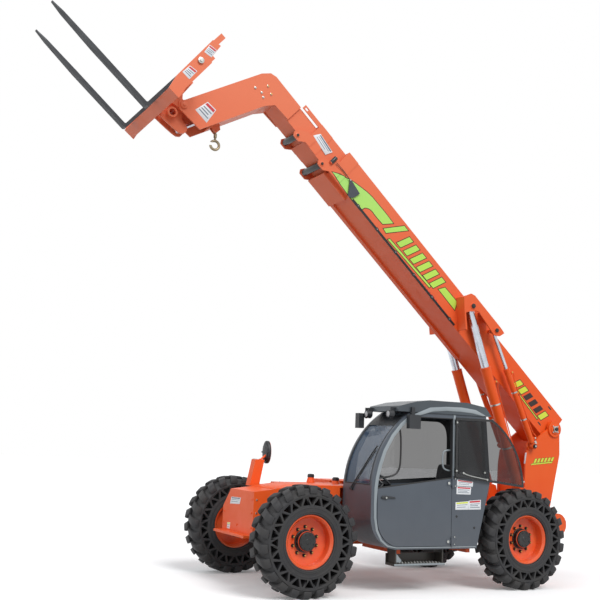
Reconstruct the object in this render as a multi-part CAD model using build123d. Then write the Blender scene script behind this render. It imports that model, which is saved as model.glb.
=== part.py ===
from build123d import *
import math
import os

# Telehandler with a three-section boom and pallet forks.
# Frame while modelling: X to the machine's left, Y to its rear, Z up, millimetres,
# with Y = 0 over the front axle and Z = 0 on the ground. main() then moves
# everything so that the origin is under the middle of the whole machine's box.

# ---- running gear -------------------------------------------------------------
WHEELBASE = 3280
TRACK_X = 1092            # wheel centre plane, each side
TYRE_R = 655              # 13.00-24 tyre
TYRE_HALF = 180
TREAD_R = 613             # flats between the lugs
LUGS = 22                 # lugs round each half of the tread
BORE_SIDES = 14           # flats round the tyre's bore
LUG_LEAN = 69             # how far a lug's outer end runs ahead of its inner end
LUG_LONG = 95             # its length round the tyre
SHOULDER = 30             # bevel on a lug's outer end
RIM_R = 315
RIM_SEAT_R = 300
KINGPIN_X = 900
KINGPIN_R = 34
SPINDLE_R = 42
BEAD = 128                # half the rim's seat width
AXLE_R = 105
HUB_R = 118
AXLE_Y = {"front": 0, "rear": WHEELBASE}

# ---- chassis ------------------------------------------------------------------
RAIL_IN = 285             # inner face of each rail and tower plate
RAIL_OUT = 315
RAIL_LOW = 520
RAIL_ARCH = 800           # underside over an axle
ARCH_HALF = 170
DECK_REAR = 1050
DECK_FRONT = 1250         # top of the rails under the nose
SLOPE_Y = 280             # where the nose's top starts to fall
NOSE_BACK = 1190
NOSE_HALF = 480
NOSE_Y = -400
NOSE_LOW = 650
NOSE_TOP = 1160           # top of the rails at the front of the nose
BEVEL = (-250, -480, 945)  # nose's right corner: X of its top, X and Z of its foot
TAIL_Y = 4620             # rear of the counterweight
TIE_X = 400               # tie-down holes in the nose's lip
TIE_R = 24
PIVOT_R = 46              # boom pivot pin
PLATE = 20

# ---- boom ---------------------------------------------------------------------
PIVOT = (4600, 2167)      # boom pivot, as (y, z)
BOOM_DEG = 42             # above level, as it stands
# half width, low edge, high edge (across the boom), back end, front end (along it)
SECTIONS = {
    "outer": dict(half=260, low=-200, high=262, back=-60, front=5200, wall=14),
    "middle": dict(half=194, low=-160, high=236, back=900, front=5740, wall=12),
    "inner": dict(half=160, low=-135, high=150, back=1500, front=6420, wall=12),
}
LIFT_EYE = (2360, 158)    # on the boom, as (along, across)
SLAVE_EYE = (1828, 212)
LIFT_X = 344              # centre planes of the side cylinders
SLAVE_X = 366
STRAP_X = 428             # inner face of the boom bracket's outer straps
LIFT_FOOT = (3905, 1250)  # on the chassis, as (y, z)
SLAVE_FOOT = (4150, 1900)
TILT_EYE = (-180, -200)   # on the carriage, as (forward, up) from the head pin
TILT_FOOT = (6597, -219)  # on the boom, as (along, across)
FOOT_IN = LIFT_X - 102    # inner face of the lift cylinders' inner brackets

# ---- head and carriage ----------------------------------------------------------
HEAD_PIN = (7145, -1221)  # on the boom, as (along, across)
HEAD_HALF = 190
HOOK_PIN = (6633, -1003)  # on the boom, as (along, across)
HEAD_PLATE = 20
HEAD_PIN_R = 38
FORK_DEG = 39.7           # fork blades above level, as they stand
CARRIAGE_HALF = 915
FORK_X = {"left": 395, "right": -530}   # middle of each fork
FORK_WIDE = 104
FORK_LONG = 1652
FORK_THICK = 46
FORK_LOW = -528           # underside of the blades, below the head pin
SHANK_BACK = 288          # back face of the shanks, ahead of the head pin
SHAFT = (262, 205)        # fork shaft, as (forward, up) from the head pin
SHAFT_R = 30
LOCK_TUBE = (38, -166)    # coupler's cross tube
CHEEK_IN = 62             # inner face of the coupler's cheeks

# ---- cab ------------------------------------------------------------------------
CAB_IN = 488
CAB_OUT = 1185
WALL = 30
SILL = 545
CAB_TOP = 2250
HEADER_Z = 2200           # underside of the top frame, over the doorway
POST_Y = 2080             # door post, where the door is hung
KNEE_Y = 2696             # rear of the cab at its widest, at the belt
HINGE_OUT = 14            # door's hinge axis, outside the cab's side
BOX_TOP = 1215            # engine box
LID_AXIS = (-492, 1290)   # hinge of the engine's lid, as (x, z)
LID_HINGES = (1400, 2230)
DOOR_HINGES = (605, 1338)
GLASS = 8
# side outline of the brackets on the roof's sloping front lip
LIP_BRACKET = [(1150, 2160), (1180, 2160), (1215, 2252), (1229, 2300), (1150, 2300)]


def plate(points, x0, x1):
    """Solid from a side outline of (y, z) points, between two X planes."""
    outline = make_face(Polyline(*points, close=True))
    return extrude(Plane.YZ.offset(x0) * outline, x1 - x0, dir=(1, 0, 0))


def both(points, x0, x1):
    """The same side plate on the left and on the right."""
    return plate(points, x0, x1) + plate(points, -x1, -x0)


def block(x0, x1, y0, y1, z0, z1):
    centre = Pos((x0 + x1) / 2, (y0 + y1) / 2, (z0 + z1) / 2)
    return centre * Box(x1 - x0, y1 - y0, z1 - z0)


def bar_x(at, radius, x0, x1):
    """Round bar along X through (y, z)."""
    return Pos((x0 + x1) / 2, *at) * Rot(0, 90, 0) * Cylinder(radius, x1 - x0)


def bar(start, end, radius, x, x_end=None):
    """Round bar between two (y, z) points in the plane X = x."""
    first = Vector(x, *start)
    last = Vector(x if x_end is None else x_end, *end)
    line = Plane(origin=first, z_dir=last - first)
    return line * Cylinder(radius, (last - first).length, align=(Align.CENTER, Align.CENTER, Align.MIN))


def on_boom(along, across):
    """(y, z) of a point given along and across the boom from its pivot."""
    turn = math.radians(BOOM_DEG)
    y = PIVOT[0] - along * math.cos(turn) + across * math.sin(turn)
    z = PIVOT[1] + along * math.sin(turn) + across * math.cos(turn)
    return (y, z)


def on_carriage(forward, up):
    """(y, z) of a point given along the forks and along their shanks from the head pin."""
    turn = math.radians(FORK_DEG)
    pin = on_boom(*HEAD_PIN)
    y = pin[0] - forward * math.cos(turn) + up * math.sin(turn)
    z = pin[1] + forward * math.sin(turn) + up * math.cos(turn)
    return (y, z)


def between(start, end, share):
    """Point that share of the way from start to end."""
    return tuple(a + (b - a) * share for a, b in zip(start, end))


# ---- running gear -----------------------------------------------------------------

def ring_x(points, x, y, z):
    """Ring turned about an X axis from a section of (radius, outward) points."""
    side = 1 if x > 0 else -1
    section = Polyline(*[(radius, side * outward) for radius, outward in points], close=True)
    turned = revolve(Plane.XZ * make_face(section), Axis.Z)
    return Pos(x, y, z) * Rot(0, 90, 0) * turned


def flats(inradius, sides, turn, x0, x1):
    """Prism about the X axis with so many flat sides, one of them facing down and turned by that angle."""
    corner_r = inradius / math.cos(math.pi / sides)
    corners = []
    for index in range(sides):
        angle = math.radians(turn + 360 / sides * (index + 0.5))
        corners.append((corner_r * math.sin(angle), -corner_r * math.cos(angle)))
    return plate(corners, x0, x1)


def lug(side):
    """Slanted tread block on the flat that faces down, on one half of the tread."""
    turn = math.radians(90 / LUGS)
    half = LUG_LONG / 2
    inner, outer = 8, TYRE_HALF
    top = (TYRE_R - (LUG_LEAN / 2 + half) * math.sin(turn)) / math.cos(turn)
    outline = [(inner, -LUG_LEAN / 2 - half), (inner, half - LUG_LEAN / 2), (outer, LUG_LEAN / 2 + half),
               (outer, LUG_LEAN / 2 - half)]
    footprint = make_face(Polyline(*[(side * x, t) for x, t in outline], close=True))
    body = extrude(Plane.XY.offset(-top) * footprint, top - TREAD_R + 8, dir=(0, 0, 1))
    bevel = [(outer - SHOULDER, -top), (outer - SHOULDER, -top - 9), (outer + 9, -top - 9), (outer + 9, 0),
             (outer, -TREAD_R)]
    bevel = make_face(Polyline(*[(side * x, z) for x, z in bevel], close=True))
    return body - extrude(Plane.XZ * bevel, 200, both=True)


def tyre(x, y):
    """Solid tyre: a row of lugs on each half, and a ring of three-cornered apertures through it."""
    outward = 1 if x > 0 else -1
    whole = None
    for side in (-1, 1):
        turn = -side * outward * 90 / LUGS
        half = flats(TREAD_R, LUGS, turn, *sorted((0, side * TYRE_HALF)))
        half = half + [Rot(turn + 360 / LUGS * index, 0, 0) * lug(side) for index in range(LUGS)]
        whole = half if whole is None else whole + half
    whole = whole - flats(RIM_SEAT_R + 0.3, BORE_SIDES, 0, -BEAD - 1, BEAD + 1)
    for side in (-1, 1):
        whole = whole - flats(RIM_R + 3, BORE_SIDES, 0, *sorted((side * BEAD, side * (TYRE_HALF + 1))))
    for index in range(LUGS):
        point = 1 if index % 2 else -1
        corners = [(-38 * point, 419 - 55 * point), (38 * point, 419 - 55 * point), (0, 419 + 55 * point)]
        whole = whole - Rot(360 / LUGS * index, 0, 0) * plate(corners, -TYRE_HALF - 5, TYRE_HALF + 5)
    return Pos(x, y, TYRE_R) * whole


def rim(x, y):
    """Dished steel wheel with its hub's end, bolted up as one."""
    lip = BEAD + 24
    inside = RIM_SEAT_R - 20
    barrel = [(RIM_SEAT_R, -BEAD), (RIM_SEAT_R, BEAD), (RIM_R, BEAD), (RIM_R, lip), (RIM_R - 14, lip),
              (inside, BEAD), (inside, 24), (150, 6), (HUB_R, 6), (HUB_R, 70), (HUB_R - 16, 92), (0, 92), (0, 50),
              (SPINDLE_R + 0.05, 50), (SPINDLE_R + 0.05, -16), (150, -16), (inside, 2), (inside, -BEAD),
              (RIM_R - 14, -lip), (RIM_R, -lip), (RIM_R, -BEAD)]
    return ring_x(barrel, x, y, TYRE_R)


def knuckle(x, y):
    """Steering knuckle: swivel housing on the kingpins, and the spindle's hub drum."""
    side = 1 if x > 0 else -1
    pin = side * KINGPIN_X
    spindle = bar_x((y, TYRE_R), SPINDLE_R, *sorted((pin, x + side * 44)))
    drum = bar_x((y, TYRE_R), 95, *sorted((side * (KINGPIN_X + 12), x - side * 18)))
    swivel = Pos(pin, y, TYRE_R) * Cylinder(50, 236)
    pins = Pos(pin, y, TYRE_R) * Cylinder(KINGPIN_R, 300)
    return spindle + drum + swivel + pins


def axle(y, plain):
    """Axle beam with its differential, and a fork for the kingpins at each end."""
    beam = bar_x((y, TYRE_R), AXLE_R, -700, 700)
    casing = Pos(0, y, TYRE_R) * Sphere(190)
    nose = Pos(0, y + plain * 210, TYRE_R) * Rot(90, 0, 0) * Cylinder(80, 160)
    whole = beam + casing + nose
    for side in (-1, 1):
        inner, outer = sorted((side * 640, side * 850))
        whole = whole + block(inner, outer, y - 80, y + 80, TYRE_R - 150, TYRE_R + 150)
        ear = side * KINGPIN_X
        for level in (-1, 1):
            low, high = sorted((TYRE_R + level * 120, TYRE_R + level * 150))
            whole = whole + block(min(ear, side * 760), max(ear, side * 760), y - 55, y + 55, low, high)
            whole = whole + Pos(ear, y, (low + high) / 2) * Cylinder(55, high - low)
            whole = whole - Pos(ear, y, (low + high) / 2) * Cylinder(KINGPIN_R + 0.05, high - low)
        gap_in, gap_out = sorted((side * 845, side * 1000))
        whole = whole - block(gap_in, gap_out, y - 200, y + 200, TYRE_R - 119.5, TYRE_R + 119.5)
        pad_in, pad_out = sorted((side * (RAIL_IN - 15), side * (RAIL_OUT + 15)))
        whole = whole + block(pad_in, pad_out, y - 90, y + 90, TYRE_R + 60, RAIL_ARCH)
    return whole


# ---- chassis ----------------------------------------------------------------------

def arch(y):
    """Outline of the notch over an axle, from front to back."""
    front, back = y - ARCH_HALF, y + ARCH_HALF
    return [(front, RAIL_LOW), (front, RAIL_ARCH), (back, RAIL_ARCH), (back, RAIL_LOW)]


def nose_top(y):
    """Height of the rails' top edge along the nose's slope."""
    return NOSE_TOP + (min(y, SLOPE_Y) - NOSE_Y) * (DECK_FRONT - NOSE_TOP) / (SLOPE_Y - NOSE_Y)


def chassis_rails():
    """Side plates with the boom's tower, the cylinders' feet and the outriggers for cab and engine."""
    front = NOSE_Y + PLATE
    rail = [(front, NOSE_LOW), (NOSE_Y + 60, NOSE_LOW)] + arch(0) + arch(WHEELBASE) + [
        (4400, RAIL_LOW), (4550, 1120), (4710, 1790), (4710, 2167), (4490, 2167), (4300, 2040), (4200, 1890),
        (4085, 1830), (4050, 1620), (4030, DECK_REAR), (1600, DECK_REAR), (NOSE_BACK, DECK_FRONT),
        (SLOPE_Y, DECK_FRONT), (front, nose_top(front))]
    frame = both(rail, RAIL_IN, RAIL_OUT)
    for at, radius, out in ((PIVOT, 118, 26), (SLAVE_FOOT, 66, 6)):
        for x0, x1 in ((RAIL_IN, RAIL_OUT + out), (-RAIL_OUT - out, -RAIL_IN)):
            frame = frame + bar_x(at, radius, x0, x1)
    y, z = LIFT_FOOT
    foot = [(y - 110, 960), (y + 110, 960), (y + 60, z + 40), (y, z + 62), (y - 60, z + 40)]
    frame = frame + both(foot, FOOT_IN, FOOT_IN + 22) + both(foot, LIFT_X + 80, LIFT_X + 102)
    frame = frame + both([(y - 110, 960), (y + 110, 960), (y + 110, 990), (y - 110, 990)], FOOT_IN, LIFT_X + 102)
    for side in (-1, 1):
        frame = frame + bar_x(LIFT_FOOT, 34, *sorted((side * FOOT_IN, side * (LIFT_X + 108))))
        frame = frame + bar_x(SLAVE_FOOT, 22, *sorted((side * RAIL_OUT, side * (SLAVE_X + 36))))
    for y0, y1 in ((1300, 1360), (2380, 2440)):
        for x0, x1 in ((RAIL_IN, 1100), (-1100, -RAIL_IN)):
            frame = frame + block(x0, x1, y0, y1, RAIL_LOW - 35, SILL)
    return frame - bar_x(PIVOT, PIVOT_R + 0.05, -RAIL_OUT - 60, RAIL_OUT + 60)


def cross_plates():
    """Plates that join the two rails."""
    plates = plate([(4480, RAIL_LOW + 200), (4500, RAIL_LOW + 200), (4650, 1780), (4630, 1780)], -RAIL_IN, RAIL_IN)
    # front, back, low, high
    for y0, y1, z0, z1 in ((250, 270, 760, 1090), (NOSE_BACK - 20, NOSE_BACK, 700, 1200),
                           (2500, 2520, 700, DECK_REAR), (3700, 3720, RAIL_LOW, DECK_REAR),
                           (4050, 4070, RAIL_LOW, 1400)):
        plates = plates + block(-RAIL_IN, RAIL_IN, y0, y1, z0, z1)
    return plates + block(-FOOT_IN, FOOT_IN, 3700, 4060, 1030, DECK_REAR)


def pivot_pin():
    return bar_x(PIVOT, PIVOT_R, -RAIL_OUT - 48, RAIL_OUT + 48)


def prism_y(points, y0, y1):
    """Solid from an outline of (x, z) points, between two Y planes."""
    face = Plane.XZ.offset(-y0) * make_face(Polyline(*points, close=True))
    return extrude(face, y1 - y0, dir=(0, 1, 0))


def nose_housing():
    """Cover over the front axle, with a bevelled right corner, a lip below and two filler necks."""
    wing = [(NOSE_Y, NOSE_LOW), (-ARCH_HALF, NOSE_LOW), (-ARCH_HALF, RAIL_ARCH), (ARCH_HALF, RAIL_ARCH),
            (420, 760), (820, 760), (820, DECK_FRONT), (SLOPE_Y, DECK_FRONT), (NOSE_Y, NOSE_TOP)]
    nose = both(wing, NOSE_HALF - PLATE, NOSE_HALF)
    nose = nose + plate([(NOSE_Y, NOSE_TOP), (SLOPE_Y, DECK_FRONT), (NOSE_BACK, DECK_FRONT),
                         (NOSE_BACK, DECK_FRONT + PLATE), (SLOPE_Y, DECK_FRONT + PLATE), (NOSE_Y, NOSE_TOP + PLATE)],
                        -NOSE_HALF, NOSE_HALF)
    nose = nose + block(-NOSE_HALF, NOSE_HALF, NOSE_Y, NOSE_Y + PLATE, NOSE_LOW, NOSE_TOP + 10)
    # right corner: cut away, closed with a slanting plate and with a gusset behind it
    top_x, foot_x, foot_z = BEVEL
    rise = foot_z + 330
    nose = nose - prism_y([(foot_x - 1, foot_z), (foot_x + 330, rise), (foot_x - 1, rise)], NOSE_Y - 5, SLOPE_Y)
    slab = prism_y([(foot_x, foot_z), (foot_x + 330, rise), (foot_x + 358, rise), (foot_x, foot_z - 28)],
                   NOSE_Y, SLOPE_Y)
    slab = slab - plate([(NOSE_Y - 5, NOSE_TOP + PLATE - 1), (SLOPE_Y, DECK_FRONT + PLATE), (SLOPE_Y, 1400),
                         (NOSE_Y - 5, 1400)], -NOSE_HALF, 0)
    slab = slab - prism_y([(-RAIL_OUT - 1, 900), (-RAIL_IN + 1, 900), (-RAIL_IN + 1, 1400), (-RAIL_OUT - 1, 1400)],
                          NOSE_Y + PLATE, SLOPE_Y + 1)
    nose = nose + slab
    nose = nose + prism_y([(foot_x, foot_z - 28), (foot_x, DECK_FRONT), (-RAIL_OUT, DECK_FRONT), (-RAIL_OUT, 1080)],
                          SLOPE_Y, SLOPE_Y + 12)
    lip = block(-NOSE_HALF, NOSE_HALF, NOSE_Y - 120, NOSE_Y + 60, NOSE_LOW - 30, NOSE_LOW)
    for x in (-TIE_X, TIE_X):
        lip = lip - Pos(x, NOSE_Y - 60, NOSE_LOW - 15) * Cylinder(TIE_R, 40)
    nose = nose + lip
    # filler necks: x, y, height
    for x, y, high in ((-300, 800, 80), (-100, 1080, 50)):
        foot = Pos(x, y, DECK_FRONT + PLATE - 2)
        nose = nose + foot * Cone(62, 42, high, align=(Align.CENTER, Align.CENTER, Align.MIN))
        nose = nose + foot * Cylinder(40, high + 26, align=(Align.CENTER, Align.CENTER, Align.MIN))
    return nose


def counterweight():
    round_r = 160
    low, high, back = 620, 940, TAIL_Y
    body = block(-550, 550, 4300, back - round_r, low, high)
    whole = body + bar_x((back - round_r, low + round_r), round_r, -550, 550)
    for x0, x1 in ((RAIL_IN, RAIL_OUT), (-RAIL_OUT, -RAIL_IN)):
        whole = whole - block(x0, x1, 4200, 4700, low - 10, high + 10)
    return whole - block(-RAIL_IN, RAIL_IN, 4470, 4700, RAIL_LOW + 190, high + 10)


def nose_mirror():
    foot = [(y, nose_top(y) + PLATE) for y in (-120, 20)]
    post = plate(foot + [(80, 1562), (-50, 1562)], -RAIL_IN - 130, -RAIL_IN)
    arm = bar((30, 1540), (150, 1640), 14, -350)
    head = Pos(-380, 157, 1661) * Rot(90, 0, 0) * extrude(Ellipse(100, 149), 17, both=True)
    return post + arm + head


# ---- power train --------------------------------------------------------------------

def engine_block():
    return block(-1040, -560, 1330, 2250, 620, 1180)


def engine_box():
    """Open-topped housing beside the right rail."""
    outer = block(-1160, -500, 1220, 2460, SILL, BOX_TOP)
    inner = block(-1160 + PLATE, -500 - PLATE, 1220 + PLATE, 2460 - PLATE, SILL + PLATE, BOX_TOP + 10)
    box = outer - inner
    for index in range(12):
        y = 1400 + index * 80
        box = box - block(-1170, -1130, y, y + 36, 760, 1120)
    for index in range(5):
        x = -1050 + index * 100
        box = box - block(x, x + 46, 2430, 2470, 760, 1120)
    x, z = LID_AXIS
    for y in LID_HINGES:
        ears = block(-502, x + 8, y - 12, y, BOX_TOP - 90, z + 5)
        ears = ears + block(-502, x + 8, y + 50, y + 62, BOX_TOP - 90, z + 5)
        ears = ears - block(-530, -500, y - 13, y + 63, BOX_TOP - 100, z + 10)
        box = box + ears + Pos(x, 0, z) * bar_y(5, y - 12, y + 62, 0)
    return box


def engine_lid():
    """Hollow lid, hung along its inner edge."""
    low, high, edge = BOX_TOP + 1, BOX_TOP + 85, -512
    outer = block(-1165, edge, 1215, 2465, low, high)
    outer = chamfer(outer.edges().filter_by(Axis.Y).sort_by(Axis.Z)[-2:].sort_by(Axis.X)[0], 50)
    lid = outer - block(-1165 + PLATE, edge - PLATE, 1215 + PLATE, 2465 - PLATE, low - 10, high - 52)
    x, z = LID_AXIS
    for y in LID_HINGES:
        lid = lid + block(edge - 2, x, y + 1, y + 49, z - 6, z + 6) + Pos(x, 0, z) * bar_y(9, y + 1, y + 49, 0)
        lid = lid - Pos(x, 0, z) * bar_y(5.05, y - 20, y + 70, 0)
    return lid


def fuel_tank():
    tank = block(-1140, -500, 860, 1220, SILL, 1150)
    return fillet(tank.edges().filter_by(Axis.X), 60)


def transmission():
    """Gearbox block low between the rails, with a drive shaft to each axle."""
    case = block(-RAIL_IN, RAIL_IN, 1450, 1900, 560, 1000)
    shafts = bar_y(38, 291, 1450, 640) + bar_y(38, 1900, WHEELBASE - 291, 640)
    return case + shafts


def bar_y(radius, y0, y1, z):
    return Pos(0, (y0 + y1) / 2, z) * Rot(90, 0, 0) * Cylinder(radius, y1 - y0)


# ---- cab ------------------------------------------------------------------------------

def cab_outline(inset):
    """Side outline of the cab's body, each wall moved in by inset."""
    i = inset
    edges = [
        Line((860 + i, 950), (860 + i, 1320)),
        ThreePointArc((860 + i, 1320), (1015 + i * 0.9, 1830 - i * 0.4), (1420 + i * 0.6, CAB_TOP)),
        Line((1420 + i * 0.6, CAB_TOP), (2620 - i, CAB_TOP)),
        Line((2620 - i, CAB_TOP), (KNEE_Y - i, 1400)),
        Line((KNEE_Y - i, 1400), (2484 - i, SILL + i)),
        Line((2484 - i, SILL + i), (1250, SILL + i)),
        ThreePointArc((1250, SILL + i), (975 + i * 0.7, 665 + i * 0.7), (860 + i, 950)),
    ]
    return make_face(edges)


def side_solid(face, x0, x1):
    return extrude(Plane.YZ.offset(x0) * face, x1 - x0, dir=(1, 0, 0))


def door_outline(gap):
    """Doorway of the lower door and the window over it, shrunk by gap."""
    g = gap
    edges = [
        Line((POST_Y - g, SILL + 30 + g), (1240, SILL + 30 + g)),
        ThreePointArc((1240, SILL + 30 + g), (1030 + g, 700 + g), (955 + g, 950)),
        Line((955 + g, 950), (940 + g, 1290)),
        ThreePointArc((940 + g, 1290), (1075 + g, 1830), (1440 + g, HEADER_Z - g)),
        Line((1440 + g, HEADER_Z - g), (POST_Y - g, HEADER_Z - g)),
        Line((POST_Y - g, HEADER_Z - g), (POST_Y - g, SILL + 30 + g)),
    ]
    return make_face(edges)


def over_belt(y0, y1, low_front, low_back):
    """Side outline of everything over the door's sloping top edge."""
    return [(y0, low_front), (y1, low_back), (y1, 2400), (y0, 2400)]


def cab_body():
    """Floor, walls, pillars and top frame as one, with doorway and windows cut."""
    shell = side_solid(cab_outline(0), CAB_IN, CAB_OUT)
    shell = shell - side_solid(cab_outline(WALL), CAB_IN + WALL, CAB_OUT - WALL)
    shell = shell - block(CAB_IN + WALL, CAB_OUT - WALL, 1490, 2590, CAB_TOP - 40, CAB_TOP + 10)
    shell = shell - side_solid(door_outline(0), CAB_OUT - WALL - 5, CAB_OUT + 5)
    # windscreen, rear window, right window and left rear window
    shell = shell - block(CAB_IN + WALL + 15, CAB_OUT - WALL - 15, 700, 1400, 1325, 2170)
    shell = shell - block(CAB_IN + WALL + 30, CAB_OUT - WALL - 30, 2560, 2760, 1450, 2180)
    right = plate([(1010, 1320), (2560, 1420), (2540, 2180), (1490, 2180), (1240, 2020), (1060, 1700)],
                  CAB_IN - 5, CAB_IN + WALL + 5)
    left = plate([(POST_Y + 50, 1450), (2600, 1470), (2560, 2190), (POST_Y + 50, 2190)],
                 CAB_OUT - WALL - 5, CAB_OUT + 5)
    return shell - right - left


def cab_shell():
    return cab_body() - block(CAB_IN - 5, CAB_OUT + 5, 800, 2800, HEADER_Z, CAB_TOP + 10)


def cab_top_frame():
    """Frame that joins the pillars' heads and carries the roof."""
    return cab_body() & block(CAB_IN - 5, CAB_OUT + 5, 800, 2800, HEADER_Z, CAB_TOP + 10)


def door_hinges():
    """Leaf, rings and pin of each hinge on the door post."""
    hinges = []
    for z in DOOR_HINGES:
        leaf = block(CAB_OUT, CAB_OUT + 6, POST_Y + 14, POST_Y + 70, z - 26, z + 86)
        axis = Pos(CAB_OUT + HINGE_OUT, POST_Y, z + 30)
        hinge = leaf + axis * Cylinder(6, 110)
        for level in (-43, 43):
            hinge = hinge + axis * Pos(0, 0, level) * (Cylinder(12, 24) + Pos(-4, 10, 0) * Box(16, 20, 24))
        hinges.append(hinge)
    return Compound(children=hinges)


def cab_roof():
    outer = [(1215, 2252), (1235, 2320), (1480, 2385), (1700, 2415), (2300, 2415), (2600, 2370), (2700, 2252)]
    inner = [(1265, 2240), (1280, 2290), (1490, 2345), (1710, 2375), (2290, 2375), (2570, 2335), (2650, 2240)]
    roof = plate(outer, CAB_IN, CAB_OUT + 15)
    return roof - plate(inner, CAB_IN + 30, CAB_OUT - 25)


def windscreen():
    band = side_solid(cab_outline(10), CAB_IN + WALL + 16, CAB_OUT - WALL - 16)
    band = band - side_solid(cab_outline(10 + GLASS), CAB_IN + WALL, CAB_OUT - WALL)
    return band & block(CAB_IN, CAB_OUT, 700, 1400, 1327, 2168)


def cab_glass():
    """Right, rear and left rear panes."""
    mid = WALL / 2
    right = plate([(1011, 1321), (2559, 1421), (2539, 2179), (1491, 2179), (1241, 2019), (1061, 1699)],
                  CAB_IN + mid - GLASS / 2, CAB_IN + mid + GLASS / 2)
    left = plate([(POST_Y + 51, 1451), (2598, 1471), (2558, 2189), (POST_Y + 51, 2189)],
                 CAB_OUT - mid - GLASS / 2, CAB_OUT - mid + GLASS / 2)
    lean = (KNEE_Y - 2620) / (CAB_TOP - 1400)
    low, high = KNEE_Y - 12 - lean * 51, KNEE_Y - 12 - lean * 779
    rear = plate([(low - GLASS, 1451), (low, 1451), (high, 2179), (high - GLASS, 2179)],
                 CAB_IN + WALL + 31, CAB_OUT - WALL - 31)
    return Compound(children=[right, left, rear])


def cab_door():
    """Lower half door, flush with the cab's side."""
    leaf = side_solid(door_outline(6), CAB_OUT - WALL, CAB_OUT)
    leaf = leaf - plate(over_belt(800, POST_Y + 20, 1264, 1432), CAB_OUT - WALL - 5, CAB_OUT + 5)
    for z in DOOR_HINGES:
        axis = Pos(CAB_OUT + HINGE_OUT, POST_Y, z + 30)
        strap = block(CAB_OUT - 1, CAB_OUT + 6, POST_Y - 80, POST_Y - 8, z, z + 60)
        knuckle = axis * (Cylinder(12, 60) + Pos(-7, -9, 0) * Box(12, 16, 60)) - axis * Cylinder(6.05, 80)
        leaf = leaf + strap + knuckle
    return leaf


def door_window():
    """Glazed upper half of the door, swung back flat past the rear of the cab."""
    edges = [
        Line((POST_Y + 20, 1455), (3235, 1330)),
        ThreePointArc((3235, 1330), (3095, 1830), (2700, 2215)),
        Line((2700, 2215), (POST_Y + 20, 2215)),
        Line((POST_Y + 20, 2215), (POST_Y + 20, 1455)),
    ]
    pane = side_solid(make_face(edges), CAB_OUT + 30, CAB_OUT + 38)
    hinges = [block(CAB_OUT, CAB_OUT + 30, POST_Y + 22, POST_Y + 52, z, z + 60) for z in (1500, 2120)]
    stay = block(CAB_OUT, CAB_OUT + 30, 2560, 2590, 1500, 1530)
    return pane + hinges + stay


def seat():
    base = block(680, 990, 1790, 2140, SILL + WALL, 860)
    cushion = block(610, 1060, 1700, 2210, 860, 980)
    back = plate([(2110, 980), (2210, 980), (2330, 1620), (2240, 1640)], 620, 1050)
    return base + fillet(cushion.edges(), 30) + back


def dashboard():
    """Front console with the steering column and wheel."""
    console = plate([(891, 960), (1000, 960), (1120, 1240), (1030, 1300), (891, 1300)], 640, 1040)
    column = bar((1060, 1150), (1250, 1320), 28, 840)
    floor = block(720, 960, 975, 1015, 760, 980)
    lean = Plane(origin=(840, 1250, 1320), z_dir=(0, 190, 170))
    wheel = lean * Torus(170, 15)
    spokes = [lean * Rot(0, 0, turn) * Pos(85, 0, 0) * Box(170, 34, 12) for turn in (90, 210, 330)]
    return console + floor + column + wheel + spokes


def entry_step():
    y0, y1 = 1240, 2010
    tread = block(960, 1150, y0, y1, 340, 372)
    hangers = [block(960, 1140, y, y + 20, 350, SILL) for y in (y0 + 20, y1 - 40)]
    back = block(950, 970, y0, y1, 340, 480)
    return tread + hangers + back


def cab_mirrors():
    """Mirror on an arm at each upper front corner of the cab."""
    heads = []
    left = block(1192, 1262, 1350, 1520, 2040, 2215) + block(1202, 1230, 1400, 1450, 2215, 2310)
    heads.append(left)
    head = block(440, 535, 1040, 1120, 2030, 2225) + block(500, 520, 1110, 1150, 2170, 2225)
    heads.append(head + plate(LIP_BRACKET, 500, 520))
    return Compound(children=heads)


def work_lights():
    """Two round lamps under the roof's front lip, and two square ones on the tail."""
    lamps = []
    for x in (590, 1120):
        body = Pos(x, 1150, 2215) * Rot(90, 0, 0) * Cylinder(48, 70)
        lamps.append(body + plate(LIP_BRACKET, x - 8, x + 8))
    for x0 in (-520, 400):
        lamps.append(block(x0, x0 + 120, TAIL_Y, TAIL_Y + 26, 730, 830))
    return Compound(children=lamps)


# ---- boom ---------------------------------------------------------------------------------

def boom_plate(points, x0, x1):
    """Plate with its outline given along and across the boom."""
    return plate([on_boom(*point) for point in points], x0, x1)


def boom_box(name):
    """Rectangular tube of one boom section."""
    size = SECTIONS[name]
    back, front, low, high, wall = (size[key] for key in ("back", "front", "low", "high", "wall"))
    outer = [(back, low), (front, low), (front, high), (back, high)]
    floor, ceiling, inside = low + wall, high - wall, size["half"] - wall
    inner = [(back - 10, floor), (front + 10, floor), (front + 10, ceiling), (back - 10, ceiling)]
    return boom_plate(outer, -size["half"], size["half"]) - boom_plate(inner, -inside, inside)


def collar(name, length, grow):
    """Doubling plates on both sides of the front end of a boom section."""
    size = SECTIONS[name]
    front = size["front"]
    back, low, high = front - length, size["low"], size["high"]
    band = [(back, low), (front, low), (front, high), (back, high)]
    return both_boom(band, size["half"] - 2, size["half"] + grow)


def roller(name, along, across, ear):
    """Roller across the underside of a section's mouth, between two ears."""
    half = SECTIONS[name]["half"]
    ears = both_boom(ear, half - 2, half + 18)
    return ears + bar_x(on_boom(along, across), 44, -half, half)


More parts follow.
